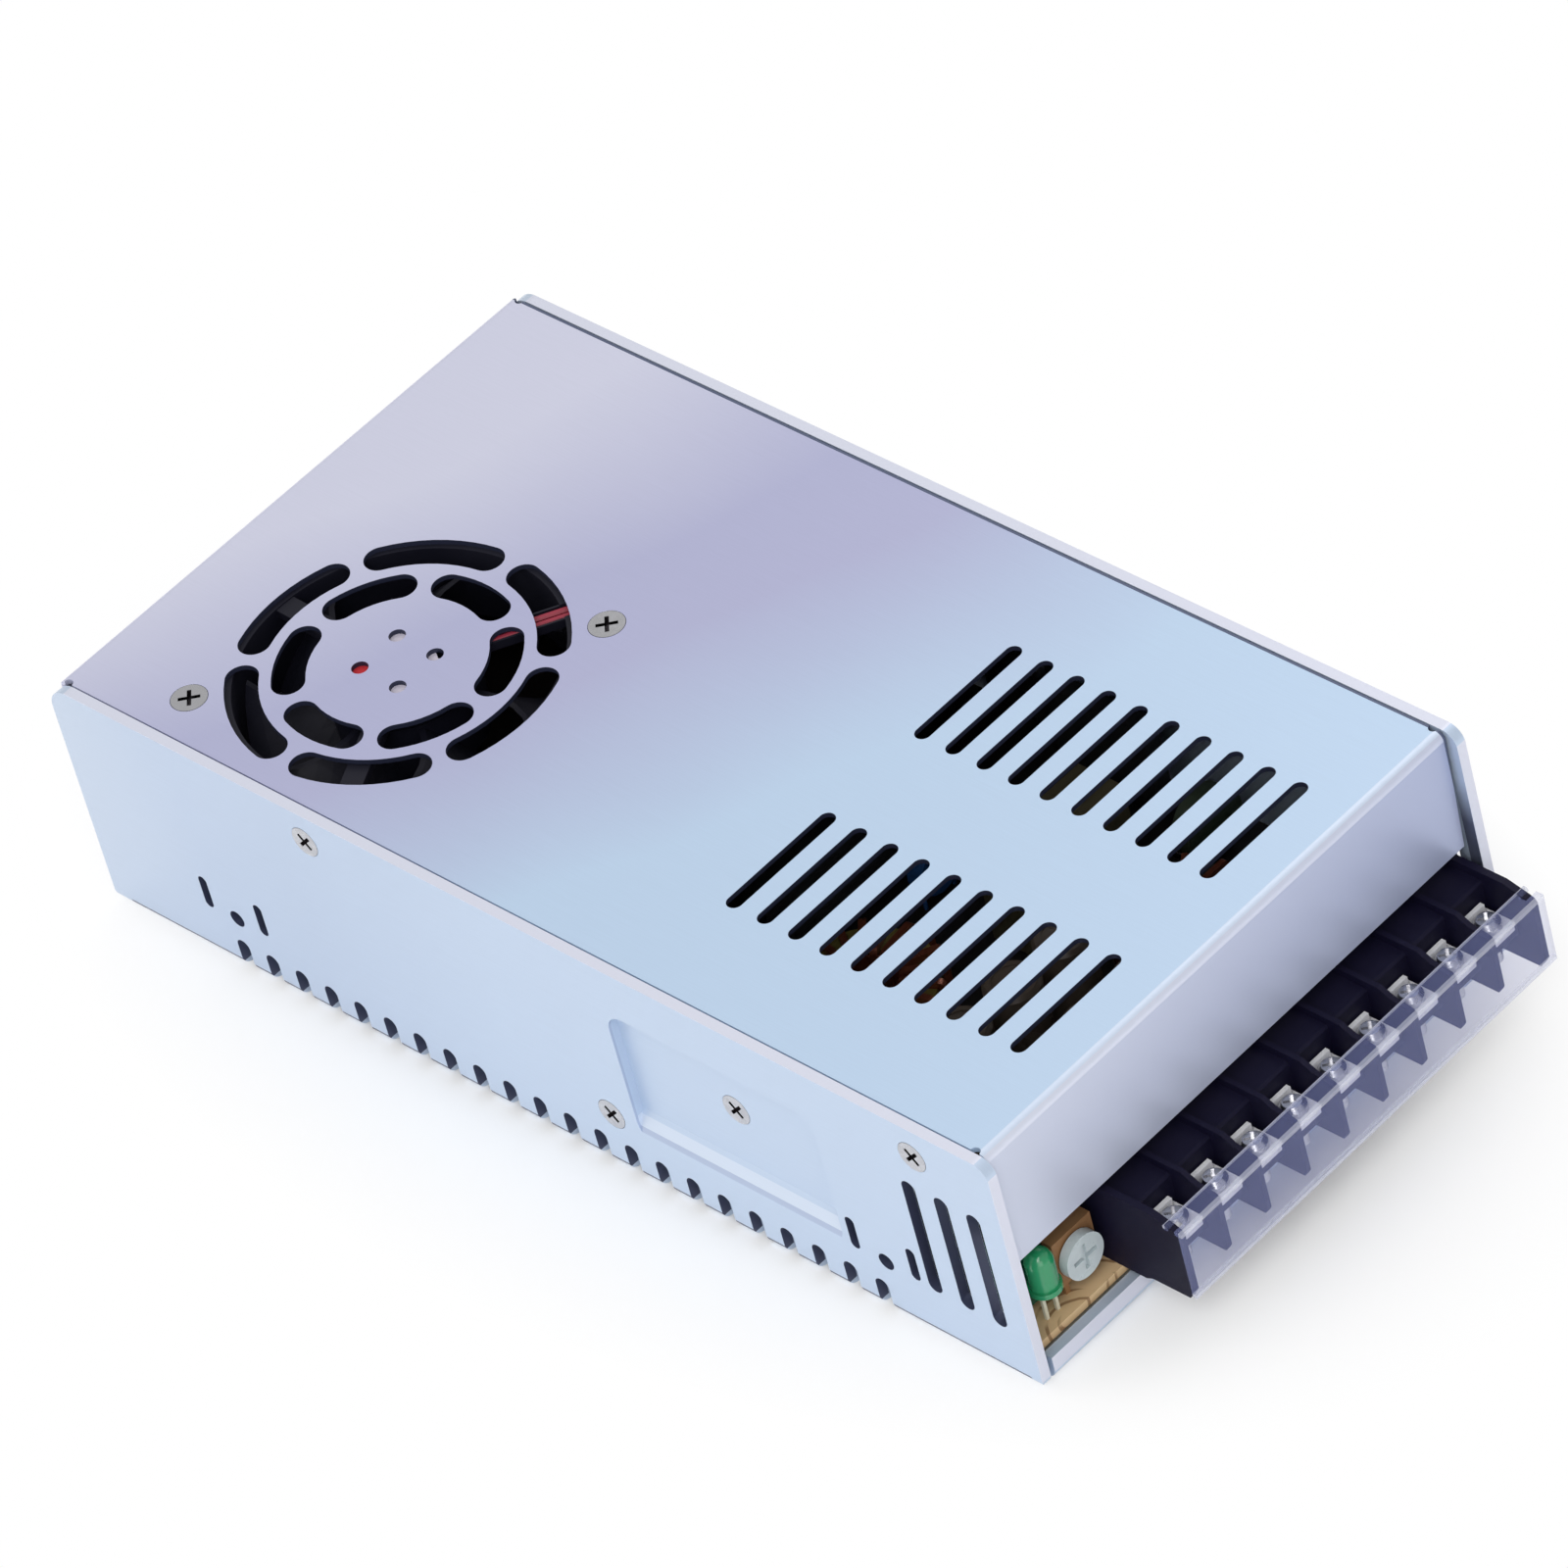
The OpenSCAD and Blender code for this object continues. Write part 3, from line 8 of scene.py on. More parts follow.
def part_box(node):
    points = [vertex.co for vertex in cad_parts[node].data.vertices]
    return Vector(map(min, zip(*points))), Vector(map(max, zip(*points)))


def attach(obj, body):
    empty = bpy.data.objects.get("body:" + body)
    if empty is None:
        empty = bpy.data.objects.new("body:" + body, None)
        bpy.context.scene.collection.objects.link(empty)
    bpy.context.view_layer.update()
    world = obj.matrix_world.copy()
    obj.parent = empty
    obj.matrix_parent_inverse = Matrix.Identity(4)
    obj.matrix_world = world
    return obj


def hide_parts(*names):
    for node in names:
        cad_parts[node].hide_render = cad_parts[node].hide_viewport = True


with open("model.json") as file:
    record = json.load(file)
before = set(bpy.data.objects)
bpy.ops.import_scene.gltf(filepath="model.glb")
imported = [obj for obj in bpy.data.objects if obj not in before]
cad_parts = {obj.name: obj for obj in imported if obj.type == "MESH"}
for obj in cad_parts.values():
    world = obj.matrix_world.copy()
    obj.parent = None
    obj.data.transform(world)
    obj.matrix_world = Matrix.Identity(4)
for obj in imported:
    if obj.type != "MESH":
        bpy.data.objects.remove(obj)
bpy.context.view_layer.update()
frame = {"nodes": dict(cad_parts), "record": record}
print("frame loaded")

mm = 0.001
past = 1.0  # masks that end on an outer face reach this far past it, in millimetres


def corners(name):
    # the low and high corner of a node's box, in millimetres
    low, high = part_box(name)
    return np.array(low) / mm, np.array(high) / mm


def meshObject(name, points, faces, material):
    # points in metres, faces as rings of point numbers
    mesh = bpy.data.meshes.new(name)
    mesh.from_pydata(np.asarray(points, float).tolist(), [], [np.asarray(ring).tolist() for ring in faces])
    mesh.validate()
    mesh.materials.append(material)
    obj = bpy.data.objects.new(name, mesh)
    bpy.context.scene.collection.objects.link(obj)
    return obj


def node(tree, kind, **values):
    made = tree.nodes.new(kind)
    for key, value in values.items():
        setattr(made, key, value)
    return made


def wire(tree, source, target):
    tree.links.new(source, target)


def mathNode(tree, operation, a, b, clamp=False):
    # a and b are numbers or sockets
    made = node(tree, "ShaderNodeMath", operation=operation, use_clamp=clamp)
    for slot, value in enumerate((a, b)):
        if isinstance(value, (int, float)):
            made.inputs[slot].default_value = value
        else:
            wire(tree, value, made.inputs[slot])
    return made.outputs[0]


def both(tree, first, *others):
    # masks multiplied: 1 where all of them are 1
    for other in others:
        first = mathNode(tree, "MULTIPLY", first, other)
    return first


def either(tree, first, *others):
    # the larger of the masks: 1 where any of them is 1
    for other in others:
        first = mathNode(tree, "MAXIMUM", first, other)
    return first


def noiseOf(tree, vector, scale, detail, roughness=0.55):
    made = node(tree, "ShaderNodeTexNoise")
    made.inputs["Scale"].default_value = scale
    made.inputs["Detail"].default_value = detail
    made.inputs["Roughness"].default_value = roughness
    wire(tree, vector, made.inputs["Vector"])
    return made.outputs["Fac"]


mixSlots = {"factor": 0, "first": 6, "second": 7, "result": 2}  # a Mix node's sockets for colours


def mixColour(tree, factor, first, second):
    # first and second are colours or sockets
    made = node(tree, "ShaderNodeMix", data_type="RGBA")
    for slot, value in (("factor", factor), ("first", first), ("second", second)):
        socket = made.inputs[mixSlots[slot]]
        if isinstance(value, tuple):
            socket.default_value = (*value, 1)
        else:
            wire(tree, value, socket)
    return made.outputs[mixSlots["result"]]


def rangeOf(tree, value, span, outLow=0.0, outHigh=1.0):
    # the value's way through the span, told as a number from outLow to outHigh
    made = node(tree, "ShaderNodeMapRange", clamp=True)
    made.inputs["From Min"].default_value = span[0]
    made.inputs["From Max"].default_value = span[1]
    made.inputs["To Min"].default_value = outLow
    made.inputs["To Max"].default_value = outHigh
    wire(tree, value, made.inputs["Value"])
    return made.outputs["Result"]


def mappedTo(tree, vector, **values):
    made = node(tree, "ShaderNodeMapping")
    for label, value in values.items():
        made.inputs[label].default_value = value
    wire(tree, vector, made.inputs["Vector"])
    return made.outputs["Vector"]


def placeOf(tree):
    # object coordinates in metres
    return node(tree, "ShaderNodeTexCoord").outputs["Object"]


def axesOf(tree, place, letters="XYZ"):
    split = node(tree, "ShaderNodeSeparateXYZ")
    wire(tree, place, split.inputs["Vector"])
    return [split.outputs[letter] for letter in letters]


def insideOf(tree, value, low, high):
    # 1 where the value lies between low and high, in millimetres, else 0
    made = node(tree, "ShaderNodeMath", operation="COMPARE")
    wire(tree, value, made.inputs[0])
    made.inputs[1].default_value = (low + high) / 2 * mm
    made.inputs[2].default_value = (high - low) / 2 * mm
    return made.outputs[0]


def shortOf(tree, value, edge, near, far):
    # 1 where the value is short of an edge by near to far, in millimetres
    return insideOf(tree, value, edge - far, edge - near)


def newGroup(name, inputs):
    # a finish: its inputs take a colour where the default is one, and it puts out three patterns
    group = bpy.data.node_groups.new(name, "ShaderNodeTree")
    for label, default in inputs.items():
        kind = "NodeSocketColor" if isinstance(default, tuple) else "NodeSocketFloat"
        socket = group.interface.new_socket(label, in_out="INPUT", socket_type=kind)
        socket.default_value = (*default, 1) if isinstance(default, tuple) else default
    for label, kind in (("Colour", "NodeSocketColor"), ("Roughness", "NodeSocketFloat"),
                        ("Height", "NodeSocketFloat")):
        group.interface.new_socket(label, in_out="OUTPUT", socket_type=kind)
    return group, node(group, "NodeGroupInput"), node(group, "NodeGroupOutput")


def roughnessOut(group, start, end, pattern):
    # roughness goes from the low input to the high one as the pattern goes from 0 to 1
    made = node(group, "ShaderNodeMapRange")
    wire(group, pattern, made.inputs["Value"])
    wire(group, start.outputs["Roughness Low"], made.inputs["To Min"])
    wire(group, start.outputs["Roughness High"], made.inputs["To Max"])
    wire(group, made.outputs["Result"], end.inputs["Roughness"])


zincLook = {
    # painted light: the rear, middle and front tints stand for the light changing along the sheet
    "paintedLightTints": {"Rear": (0.65, 0.66, 0.80), "Middle": (0.46, 0.47, 0.67), "Front": (0.515, 0.655, 0.835)},
    "cloudDepth": 0.3, "rough": (0.3, 0.4),
    "length": (-107.5, 107.5),   # the tints run along the case between these, in millimetres
    "slant": 2.2,                # and lean this much across it
    "rearToMiddle": (0.02, 0.24), "middleToFront": (0.38, 0.62),
    "cloud": 9, "cloudDetail": 2, "cloudRoughness": 0.4,
    "rolling": (90, 4000, 4000), "rollingDetail": 2, "rollingSpan": (0.3, 0.7), "rollingShade": (0.985, 1.01),
    "bump": 0.05, "bumpDepth": 0.00005, "metal": 0.35}


def zincGroup():
    # zinc plated sheet: a tint that drifts along and across the case, which is painted light standing for the
    # fall of light over the sheet, a soft cloud and fine rolling lines
    look = zincLook
    group, start, end = newGroup("zincFinishAndPaintedLight", {
        **look["paintedLightTints"], "Cloud Depth": look["cloudDepth"],
        "Roughness Low": look["rough"][0], "Roughness High": look["rough"][1]})
    place = placeOf(group)
    x, y = axesOf(group, place, "XY")
    cloud = noiseOf(group, place, look["cloud"], look["cloudDetail"], look["cloudRoughness"])
    # the noise goes either side of a half, so the tints drift both ways
    drift = mathNode(group, "MULTIPLY", mathNode(group, "SUBTRACT", cloud, 0.5), start.outputs["Cloud Depth"])
    along = rangeOf(group, x, [at * mm for at in look["length"]])
    along = mathNode(group, "ADD", along, drift)
    along = mathNode(group, "SUBTRACT", along, mathNode(group, "MULTIPLY", y, look["slant"]))
    tint = mixColour(group, rangeOf(group, along, look["rearToMiddle"]),
                     start.outputs["Rear"], start.outputs["Middle"])
    tint = mixColour(group, rangeOf(group, along, look["middleToFront"]), tint, start.outputs["Front"])
    lines = noiseOf(group, mappedTo(group, place, Scale=look["rolling"]), 1, look["rollingDetail"])
    scaled = node(group, "ShaderNodeVectorMath", operation="SCALE")
    wire(group, tint, scaled.inputs[0])
    wire(group, rangeOf(group, lines, look["rollingSpan"], *look["rollingShade"]), scaled.inputs["Scale"])
    wire(group, scaled.outputs["Vector"], end.inputs["Colour"])
    wire(group, lines, end.inputs["Height"])
    roughnessOut(group, start, end, cloud)
    return group


# what a finish has where its own entry in looks doesn't say otherwise
plainLook = dict(colour=(0.5, 0.5, 0.5), second=(0.4, 0.4, 0.4), cloud=60, grain=2500, amount=0.6,
                 rough=(0.35, 0.5), metal=0, coat=0, coatRough=0.15, clear=0, refraction=1.5, shine=0.5,
                 bump=0.15, bumpDepth=0.0001)
mottleLook = {"cloudDetail": 4, "grainDetail": 2, "cloudSpan": (0.35, 0.65), "grainShare": 0.25,
              "grainShift": 0.12, "cloudHeight": 0.4}


def mottleGroup():
    # two colours mixed by a soft cloud, a finer grain on top, and a height for a bump
    look = mottleLook
    group, start, end = newGroup("mottledFinish", {
        "Colour": plainLook["colour"], "Second Colour": plainLook["second"],
        "Cloud Scale": plainLook["cloud"], "Grain Scale": plainLook["grain"], "Amount": plainLook["amount"],
        "Roughness Low": plainLook["rough"][0], "Roughness High": plainLook["rough"][1]})
    place = placeOf(group)
    patterns = []
    for label, detail in (("Cloud Scale", look["cloudDetail"]), ("Grain Scale", look["grainDetail"])):
        made = node(group, "ShaderNodeTexNoise")
        made.inputs["Detail"].default_value = detail
        wire(group, place, made.inputs["Vector"])
        wire(group, start.outputs[label], made.inputs["Scale"])
        patterns.append(made.outputs["Fac"])
    cloud, grain = patterns
    spread = rangeOf(group, cloud, look["cloudSpan"])
    share = mathNode(group, "MULTIPLY", spread, start.outputs["Amount"])
    fine = mathNode(group, "MULTIPLY", grain, look["grainShare"])
    fine = mathNode(group, "SUBTRACT", fine, look["grainShift"])
    wire(group, mixColour(group, mathNode(group, "ADD", share, fine, clamp=True),
                          start.outputs["Colour"], start.outputs["Second Colour"]), end.inputs["Colour"])
    height = mathNode(group, "ADD", mathNode(group, "MULTIPLY", cloud, look["cloudHeight"]), grain)
    wire(group, height, end.inputs["Height"])
    roughnessOut(group, start, end, spread)
    return group


looks = {
    "bright_screws": dict(colour=(0.62, 0.62, 0.64), second=(0.5, 0.5, 0.53), rough=(0.2, 0.35),
                          metal=1, cloud=500),
    "plated_steel": dict(colour=(0.6, 0.61, 0.64), second=(0.48, 0.49, 0.53), rough=(0.25, 0.4),
                         metal=1, cloud=300),
    "film": dict(colour=(0.8, 0.78, 0.7), second=(0.74, 0.72, 0.62), rough=(0.4, 0.55)),
    "board_laminate": dict(colour=(0.74, 0.53, 0.3), second=(0.62, 0.42, 0.22), rough=(0.4, 0.6), cloud=80),
    "black_moulding": dict(colour=(0.005, 0.004, 0.018), second=(0.008, 0.007, 0.025), rough=(0.5, 0.65),
                           bump=0.2, shine=0.18),
    "tinned_brass": dict(colour=(0.92, 0.9, 0.9), second=(0.8, 0.78, 0.76), rough=(0.3, 0.45), metal=0.5),
    "washer_tin": dict(colour=(0.97, 0.97, 1), second=(0.9, 0.9, 0.93), rough=(0.22, 0.35),
                       metal=0.1, cloud=300),
    "clear_guard": dict(colour=(0.31, 0.35, 0.68), second=(0.28, 0.32, 0.65), rough=(0.08, 0.16), bump=0),
    "fan_plastic": dict(colour=(0.006, 0.006, 0.013), second=(0.009, 0.009, 0.018), rough=(0.5, 0.65),
                        shine=0.25),
    "sleeve_brass": dict(colour=(0.55, 0.4, 0.18), second=(0.45, 0.32, 0.14), rough=(0.3, 0.4), metal=1),
    "copper_wire": dict(colour=(0.36, 0.11, 0.06), second=(0.26, 0.075, 0.045), rough=(0.25, 0.4),
                        metal=0.6, coat=0.6),
    "ferrite": dict(colour=(0.03, 0.03, 0.033), second=(0.045, 0.044, 0.045), rough=(0.5, 0.7)),
    "wire_sleeve": dict(colour=(0.3, 0.02, 0.045), second=(0.24, 0.015, 0.035), rough=(0.4, 0.5)),
    "white_nylon": dict(colour=(0.8, 0.79, 0.74), second=(0.74, 0.72, 0.66), rough=(0.4, 0.5)),
    "trimmer_base": dict(colour=(0.3, 0.15, 0.06), second=(0.24, 0.12, 0.05), rough=(0.5, 0.6)),
    "dial_plastic": dict(colour=(0.55, 0.62, 0.64), second=(0.44, 0.5, 0.53), rough=(0.25, 0.35), cloud=260),
    "green_lens": dict(colour=(0.02, 0.3, 0.12), second=(0.02, 0.24, 0.1), rough=(0.12, 0.2), coat=0.5),
    "green_film": dict(colour=(0.01, 0.1, 0.06), second=(0.01, 0.08, 0.05), rough=(0.2, 0.3), coat=0.4),
    # painted shade: the yellow tape and core inside the case are given a much darker yellow than their own
    "yellow_tape": dict(colour=(0.16, 0.12, 0.06), second=(0.13, 0.10, 0.05), rough=(0.3, 0.4)),
    "yellow_core": dict(colour=(0.2, 0.16, 0.04), second=(0.16, 0.13, 0.04), rough=(0.4, 0.5)),
    "dark_sleeve": dict(colour=(0.02, 0.025, 0.04), second=(0.03, 0.035, 0.05), rough=(0.2, 0.3), coat=0.4),
    "brown_sleeve": dict(colour=(0.13, 0.1, 0.08), second=(0.1, 0.08, 0.06), rough=(0.25, 0.35), coat=0.4),
    # painted shade: the yellow box inside the case is given a much darker yellow than its own
    "yellow_box": dict(colour=(0.14, 0.12, 0.07), second=(0.11, 0.1, 0.06), rough=(0.25, 0.35)),
    "blue_disc": dict(colour=(0.03, 0.12, 0.36), second=(0.025, 0.1, 0.3), rough=(0.2, 0.3), coat=0.4),
    "fuse_glass": dict(colour=(0.9, 0.93, 0.94), second=(0.86, 0.9, 0.92), rough=(0.02, 0.05), clear=1, bump=0),
    "green_disc": dict(colour=(0.04, 0.06, 0.035), second=(0.05, 0.07, 0.04), rough=(0.5, 0.6)),
    "black_epoxy": dict(colour=(0.016, 0.016, 0.018), second=(0.024, 0.024, 0.026), rough=(0.45, 0.6)),
    "blue_sleeve": dict(colour=(0.03, 0.045, 0.14), second=(0.04, 0.05, 0.12), rough=(0.2, 0.3), coat=0.4),
    "resistor_body": dict(colour=(0.5, 0.45, 0.36), second=(0.44, 0.4, 0.32), rough=(0.5, 0.6)),
}
zinc = zincGroup()
mottled = mottleGroup()


def newMaterial(name, group, bump, bumpDepth):
    # a Principled material with a finish group wired to its colour, roughness and bump
    material = bpy.data.materials.new(name)
    material.use_nodes = True
    tree = material.node_tree
    shader = tree.nodes["Principled BSDF"]
    finish = node(tree, "ShaderNodeGroup", node_tree=group)
    wire(tree, finish.outputs["Colour"], shader.inputs["Base Color"])
    wire(tree, finish.outputs["Roughness"], shader.inputs["Roughness"])
    raised = node(tree, "ShaderNodeBump")
    raised.inputs["Strength"].default_value = bump
    raised.inputs["Distance"].default_value = bumpDepth
    wire(tree, finish.outputs["Height"], raised.inputs["Height"])
    wire(tree, raised.outputs["Normal"], shader.inputs["Normal"])
    return material, shader, finish


def mottledMaterial(name, ownValues):
    look = {**plainLook, **ownValues}
    material, shader, finish = newMaterial(name, mottled, look["bump"], look["bumpDepth"])
    for label, value in (("Colour", (*look["colour"], 1)), ("Second Colour", (*look["second"], 1)),
                         ("Cloud Scale", look["cloud"]), ("Grain Scale", look["grain"]),
                         ("Amount", look["amount"]), ("Roughness Low", look["rough"][0]),
                         ("Roughness High", look["rough"][1])):
        finish.inputs[label].default_value = value
    for label, key in (("Metallic", "metal"), ("Coat Weight", "coat"), ("Coat Roughness", "coatRough"),
                       ("Transmission Weight", "clear"), ("IOR", "refraction"),
                       ("Specular IOR Level", "shine")):
        shader.inputs[label].default_value = look[key]
    return material


materials = {slot: mottledMaterial(slot, look) for slot, look in looks.items()}


def sheetMaterial(name, paintedLightTints):
    material, shader, finish = newMaterial(name, zinc, zincLook["bump"], zincLook["bumpDepth"])
    for label, tint in paintedLightTints.items():
        finish.inputs[label].default_value = (*tint, 1)
    shader.inputs["Metallic"].default_value = zincLook["metal"]
    materials[name] = material
    return material.node_tree


def layOver(tree, mask, colour):
    # lays a colour or a pattern over the base colour where the mask is 1
    target = tree.nodes["Principled BSDF"].inputs["Base Color"]
    wire(tree, mixColour(tree, mask, target.links[0].from_socket, colour), target)


coverLook = {
    "rim": (0.03, 0.035, 0.07), "rimDepth": (0.03, 0.97), "underDepth": 1.5, "endMargin": 8, "sideMargin": 4,
    "faceNear": (0.62, 0.66, 0.79), "faceFar": (0.42, 0.47, 0.66), "faceDepth": 0.6,
    "foldHighlight": (0.76, 0.79, 0.90), "foldWidth": 1.7, "foldShare": 0.5,
    "seamShade": (0.10, 0.12, 0.20), "seamWidth": 0.45}


def coverMaterial():
    look = coverLook
    tree = sheetMaterial("cover_sheet", zincLook["paintedLightTints"])
    low, high = corners("top_cover")
    x, y, z = axesOf(tree, placeOf(tree))
    # painted shade: the cut edges of the vents, within the sheet's thickness and away from the folded ends, and
    # the sheet's underside are dark
    top, bottom = look["rimDepth"]
    between = insideOf(tree, x, low[0] + look["endMargin"], high[0] - look["endMargin"])
    rims = both(tree, shortOf(tree, z, high[2], top, bottom), between,
                insideOf(tree, y, low[1] + look["sideMargin"], high[1] - look["sideMargin"]))
    under = both(tree, shortOf(tree, z, high[2], bottom, look["underDepth"]), between)
    layOver(tree, either(tree, rims, under), look["rim"])
    # painted light: the end face goes from pale to dull blue across the case, below a painted highlight along
    # the bend
    across = mixColour(tree, rangeOf(tree, y, (low[1] * mm, high[1] * mm)), look["faceNear"], look["faceFar"])
    layOver(tree, shortOf(tree, x, high[0], -past, look["faceDepth"]), across)
    foldHighlight = both(tree, shortOf(tree, x, high[0], -past, look["foldWidth"]),
                shortOf(tree, z, high[2], -past, look["foldWidth"]))
    layOver(tree, both(tree, foldHighlight, look["foldShare"]), look["foldHighlight"])
    # painted shade along the line where the sheet meets the far wall
    layOver(tree, shortOf(tree, y, high[1], -past, look["seamWidth"]), look["seamShade"])


wallLook = {
    # painted light: the walls' tints drift along the case as the light on them changes
    "paintedLightTints": {"Rear": (0.56, 0.64, 0.76), "Middle": (0.50, 0.59, 0.74), "Front": (0.53, 0.63, 0.78)},
    "rim": (0.06, 0.07, 0.13), "rimDepth": (0.03, 1.97), "rimFromRear": 4, "rimFromFront": 2.5,
    "rimHeight": (1.2, 40),
    "pocketX": (17, 68.2), "pocketZ": (9.6, 41.5),
    "pocketShade": (0.36, 0.41, 0.58), "shadeDepth": (0.05, 0.5), "shadeShare": 0.5,
    "pocketHighlight": (0.80, 0.84, 0.92), "lineDepth": (0.5, 1.5), "lineHeight": 6, "lineShare": 0.4,
    "edge": (0.70, 0.72, 0.83), "edgeDepth": 0.05,
    "mirror": (0.03, 0.03, 0.08), "mirrorDepth": (1.7, 2.3), "mirrorFromFront": (0.1, 2.6),
    "mirrorHeight": (40, 30), "mirrorShare": 0.85}


def chassisMaterial():
    look = wallLook
    tree = sheetMaterial("case_sheet", look["paintedLightTints"])
    low, high = corners("chassis")
    x, y, z = axesOf(tree, placeOf(tree))
    pocket = both(tree, insideOf(tree, x, *look["pocketX"]), insideOf(tree, z, *look["pocketZ"]))
    # painted shade: the cut edges of the holes, within the thickness of both walls, away from the ends and the
    # pocket, are dark
    away = both(tree, insideOf(tree, x, low[0] + look["rimFromRear"], high[0] - look["rimFromFront"]),
                insideOf(tree, z, *look["rimHeight"]), mathNode(tree, "SUBTRACT", 1.0, pocket))
    outer, inner = look["rimDepth"]
    walls = either(tree, insideOf(tree, y, low[1] + outer, low[1] + inner),
                   shortOf(tree, y, high[1], outer, inner))
    layOver(tree, both(tree, away, walls), look["rim"])
    # the pressed pocket: a faint painted shade where it starts, a painted highlight along its lower slope
    outer, inner = look["shadeDepth"]
    start = both(tree, pocket, insideOf(tree, y, low[1] + outer, low[1] + inner))
    layOver(tree, both(tree, start, look["shadeShare"]), look["pocketShade"])
    outer, inner = look["lineDepth"]
    slope = both(tree, pocket, insideOf(tree, y, low[1] + outer, low[1] + inner),
                 insideOf(tree, z, 0, look["pocketZ"][0] + look["lineHeight"]))
    layOver(tree, both(tree, slope, look["lineShare"]), look["pocketHighlight"])
    # painted highlight: the cut edges of both walls along the top and the front end are bright
    ends = either(tree, shortOf(tree, z, high[2], -past, look["edgeDepth"]),
                  shortOf(tree, x, high[0], -past, look["edgeDepth"]))
    layOver(tree, ends, look["edge"])
    # painted reflection: the black block shows darkly in the inner face of the far wall's end
    fade = rangeOf(tree, z, [at * mm for at in look["mirrorHeight"]], 0, look["mirrorShare"])
    mirror = both(tree, shortOf(tree, y, high[1], *look["mirrorDepth"]),
                  shortOf(tree, x, high[0], *look["mirrorFromFront"]), fade)
    layOver(tree, mirror, look["mirror"])


coverMaterial()
chassisMaterial()

boardLook = {
    "track": (0.22, 0.1, 0.04), "trackCentre": (107, -47, 6), "trackScale": 150, "trackWaver": 1.4,
    "trackDetail": 1.5, "trackSpan": (0.78, 0.9), "trackShare": 0.75,
    "breaks": 160, "breakDetail": 1, "breakSpan": (0.46, 0.52),
    "dark": (0.018, 0.014, 0.014), "darkFrom": (98, 86)}


def boardMaterial():
    # bare tan laminate with curved solder tracks, tan at the open front; inside the case painted shade makes it
    # dark
    look = boardLook
    tree = materials["board_laminate"].node_tree
    place = placeOf(tree)
    x = axesOf(tree, place, "X")[0]
    rings = node(tree, "ShaderNodeTexWave", wave_type="RINGS", rings_direction="SPHERICAL")
    rings.inputs["Scale"].default_value = look["trackScale"]
    rings.inputs["Distortion"].default_value = look["trackWaver"]
    rings.inputs["Detail Scale"].default_value = look["trackDetail"]
    centred = mappedTo(tree, place, Location=[-at * mm for at in look["trackCentre"]])
    wire(tree, centred, rings.inputs["Vector"])
    tracks = rangeOf(tree, rings.outputs["Fac"], look["trackSpan"], 0, look["trackShare"])
    broken = rangeOf(tree, noiseOf(tree, place, look["breaks"], look["breakDetail"]), look["breakSpan"])
    layOver(tree, both(tree, tracks, broken), look["track"])
    # painted shade: the board turns dark from the front inwards
    layOver(tree, rangeOf(tree, x, [at * mm for at in look["darkFrom"]]), look["dark"])


hubLook = {"disc": (0.62, 0.58, 0.68), "radius": 11, "depth": 0.1,
           "patch": (0.55, 0.03, 0.04), "patchX": -3.4, "patchY": -1.5}


def hubMaterial():
    # the motor disc under the hub holes carries a plain pale disc with one red patch
    look = hubLook
    tree = materials["fan_plastic"].node_tree
    low, high = corners("fan_frame")
    middle = (low + high) / 2
    x, y, z = axesOf(tree, placeOf(tree))
    flat = node(tree, "ShaderNodeCombineXYZ")
    wire(tree, x, flat.inputs["X"])
    wire(tree, y, flat.inputs["Y"])
    away = node(tree, "ShaderNodeVectorMath", operation="DISTANCE")
    wire(tree, flat.outputs["Vector"], away.inputs[0])
    away.inputs[1].default_value = (middle[0] * mm, middle[1] * mm, 0)
    disc = both(tree, mathNode(tree, "LESS_THAN", away.outputs["Value"], look["radius"] * mm),
                insideOf(tree, z, high[2] - look["depth"], high[2] + look["depth"]))
    layOver(tree, disc, look["disc"])
    patch = both(tree, disc, mathNode(tree, "LESS_THAN", x, (middle[0] + look["patchX"]) * mm),
                 mathNode(tree, "LESS_THAN", y, (middle[1] + look["patchY"]) * mm))
    layOver(tree, patch, look["patch"])


guardLook = {
    "rim": (0.72, 0.74, 0.88), "footRim": 0.7, "topRim": 0.95, "frontRim": 0.7, "hingeRim": 0.5,
    "rimCover": 0.25, "blend": 0.35, "facing": (0.2, 0.9), "cover": (0.14, 0.36)}


def guardMaterial():
    # milky clear plastic: part opacity, more of it seen edge on; a painted highlight, pale and more opaque,
    # lies along the rims
    look = guardLook
    tree = materials["clear_guard"].node_tree
    low, high = corners("terminal_guard")
    x, z = axesOf(tree, placeOf(tree), "XZ")
    # painted highlight: the foot, and the top edge at the front and the hinge, are pale
    foot = insideOf(tree, z, low[2] - past, low[2] + look["footRim"])
    sides = either(tree, shortOf(tree, x, high[0], -past, look["frontRim"]),
                   insideOf(tree, x, low[0] - past, low[0] + look["hingeRim"]))
    rims = either(tree, foot, both(tree, shortOf(tree, z, high[2], -past, look["topRim"]), sides))
    layOver(tree, rims, look["rim"])
    facing = node(tree, "ShaderNodeLayerWeight")
    facing.inputs["Blend"].default_value = look["blend"]
    seen = rangeOf(tree, facing.outputs["Facing"], look["facing"], *look["cover"])
    seen = mathNode(tree, "ADD", seen, both(tree, rims, look["rimCover"]), clamp=True)
    wire(tree, seen, tree.nodes["Principled BSDF"].inputs["Alpha"])


screwLook = {"recess": (0.05, 0.045, 0.05), "pressedX": (21, 67), "pressDepth": 2.0, "skin": 0.12,
             "pastFront": 2}


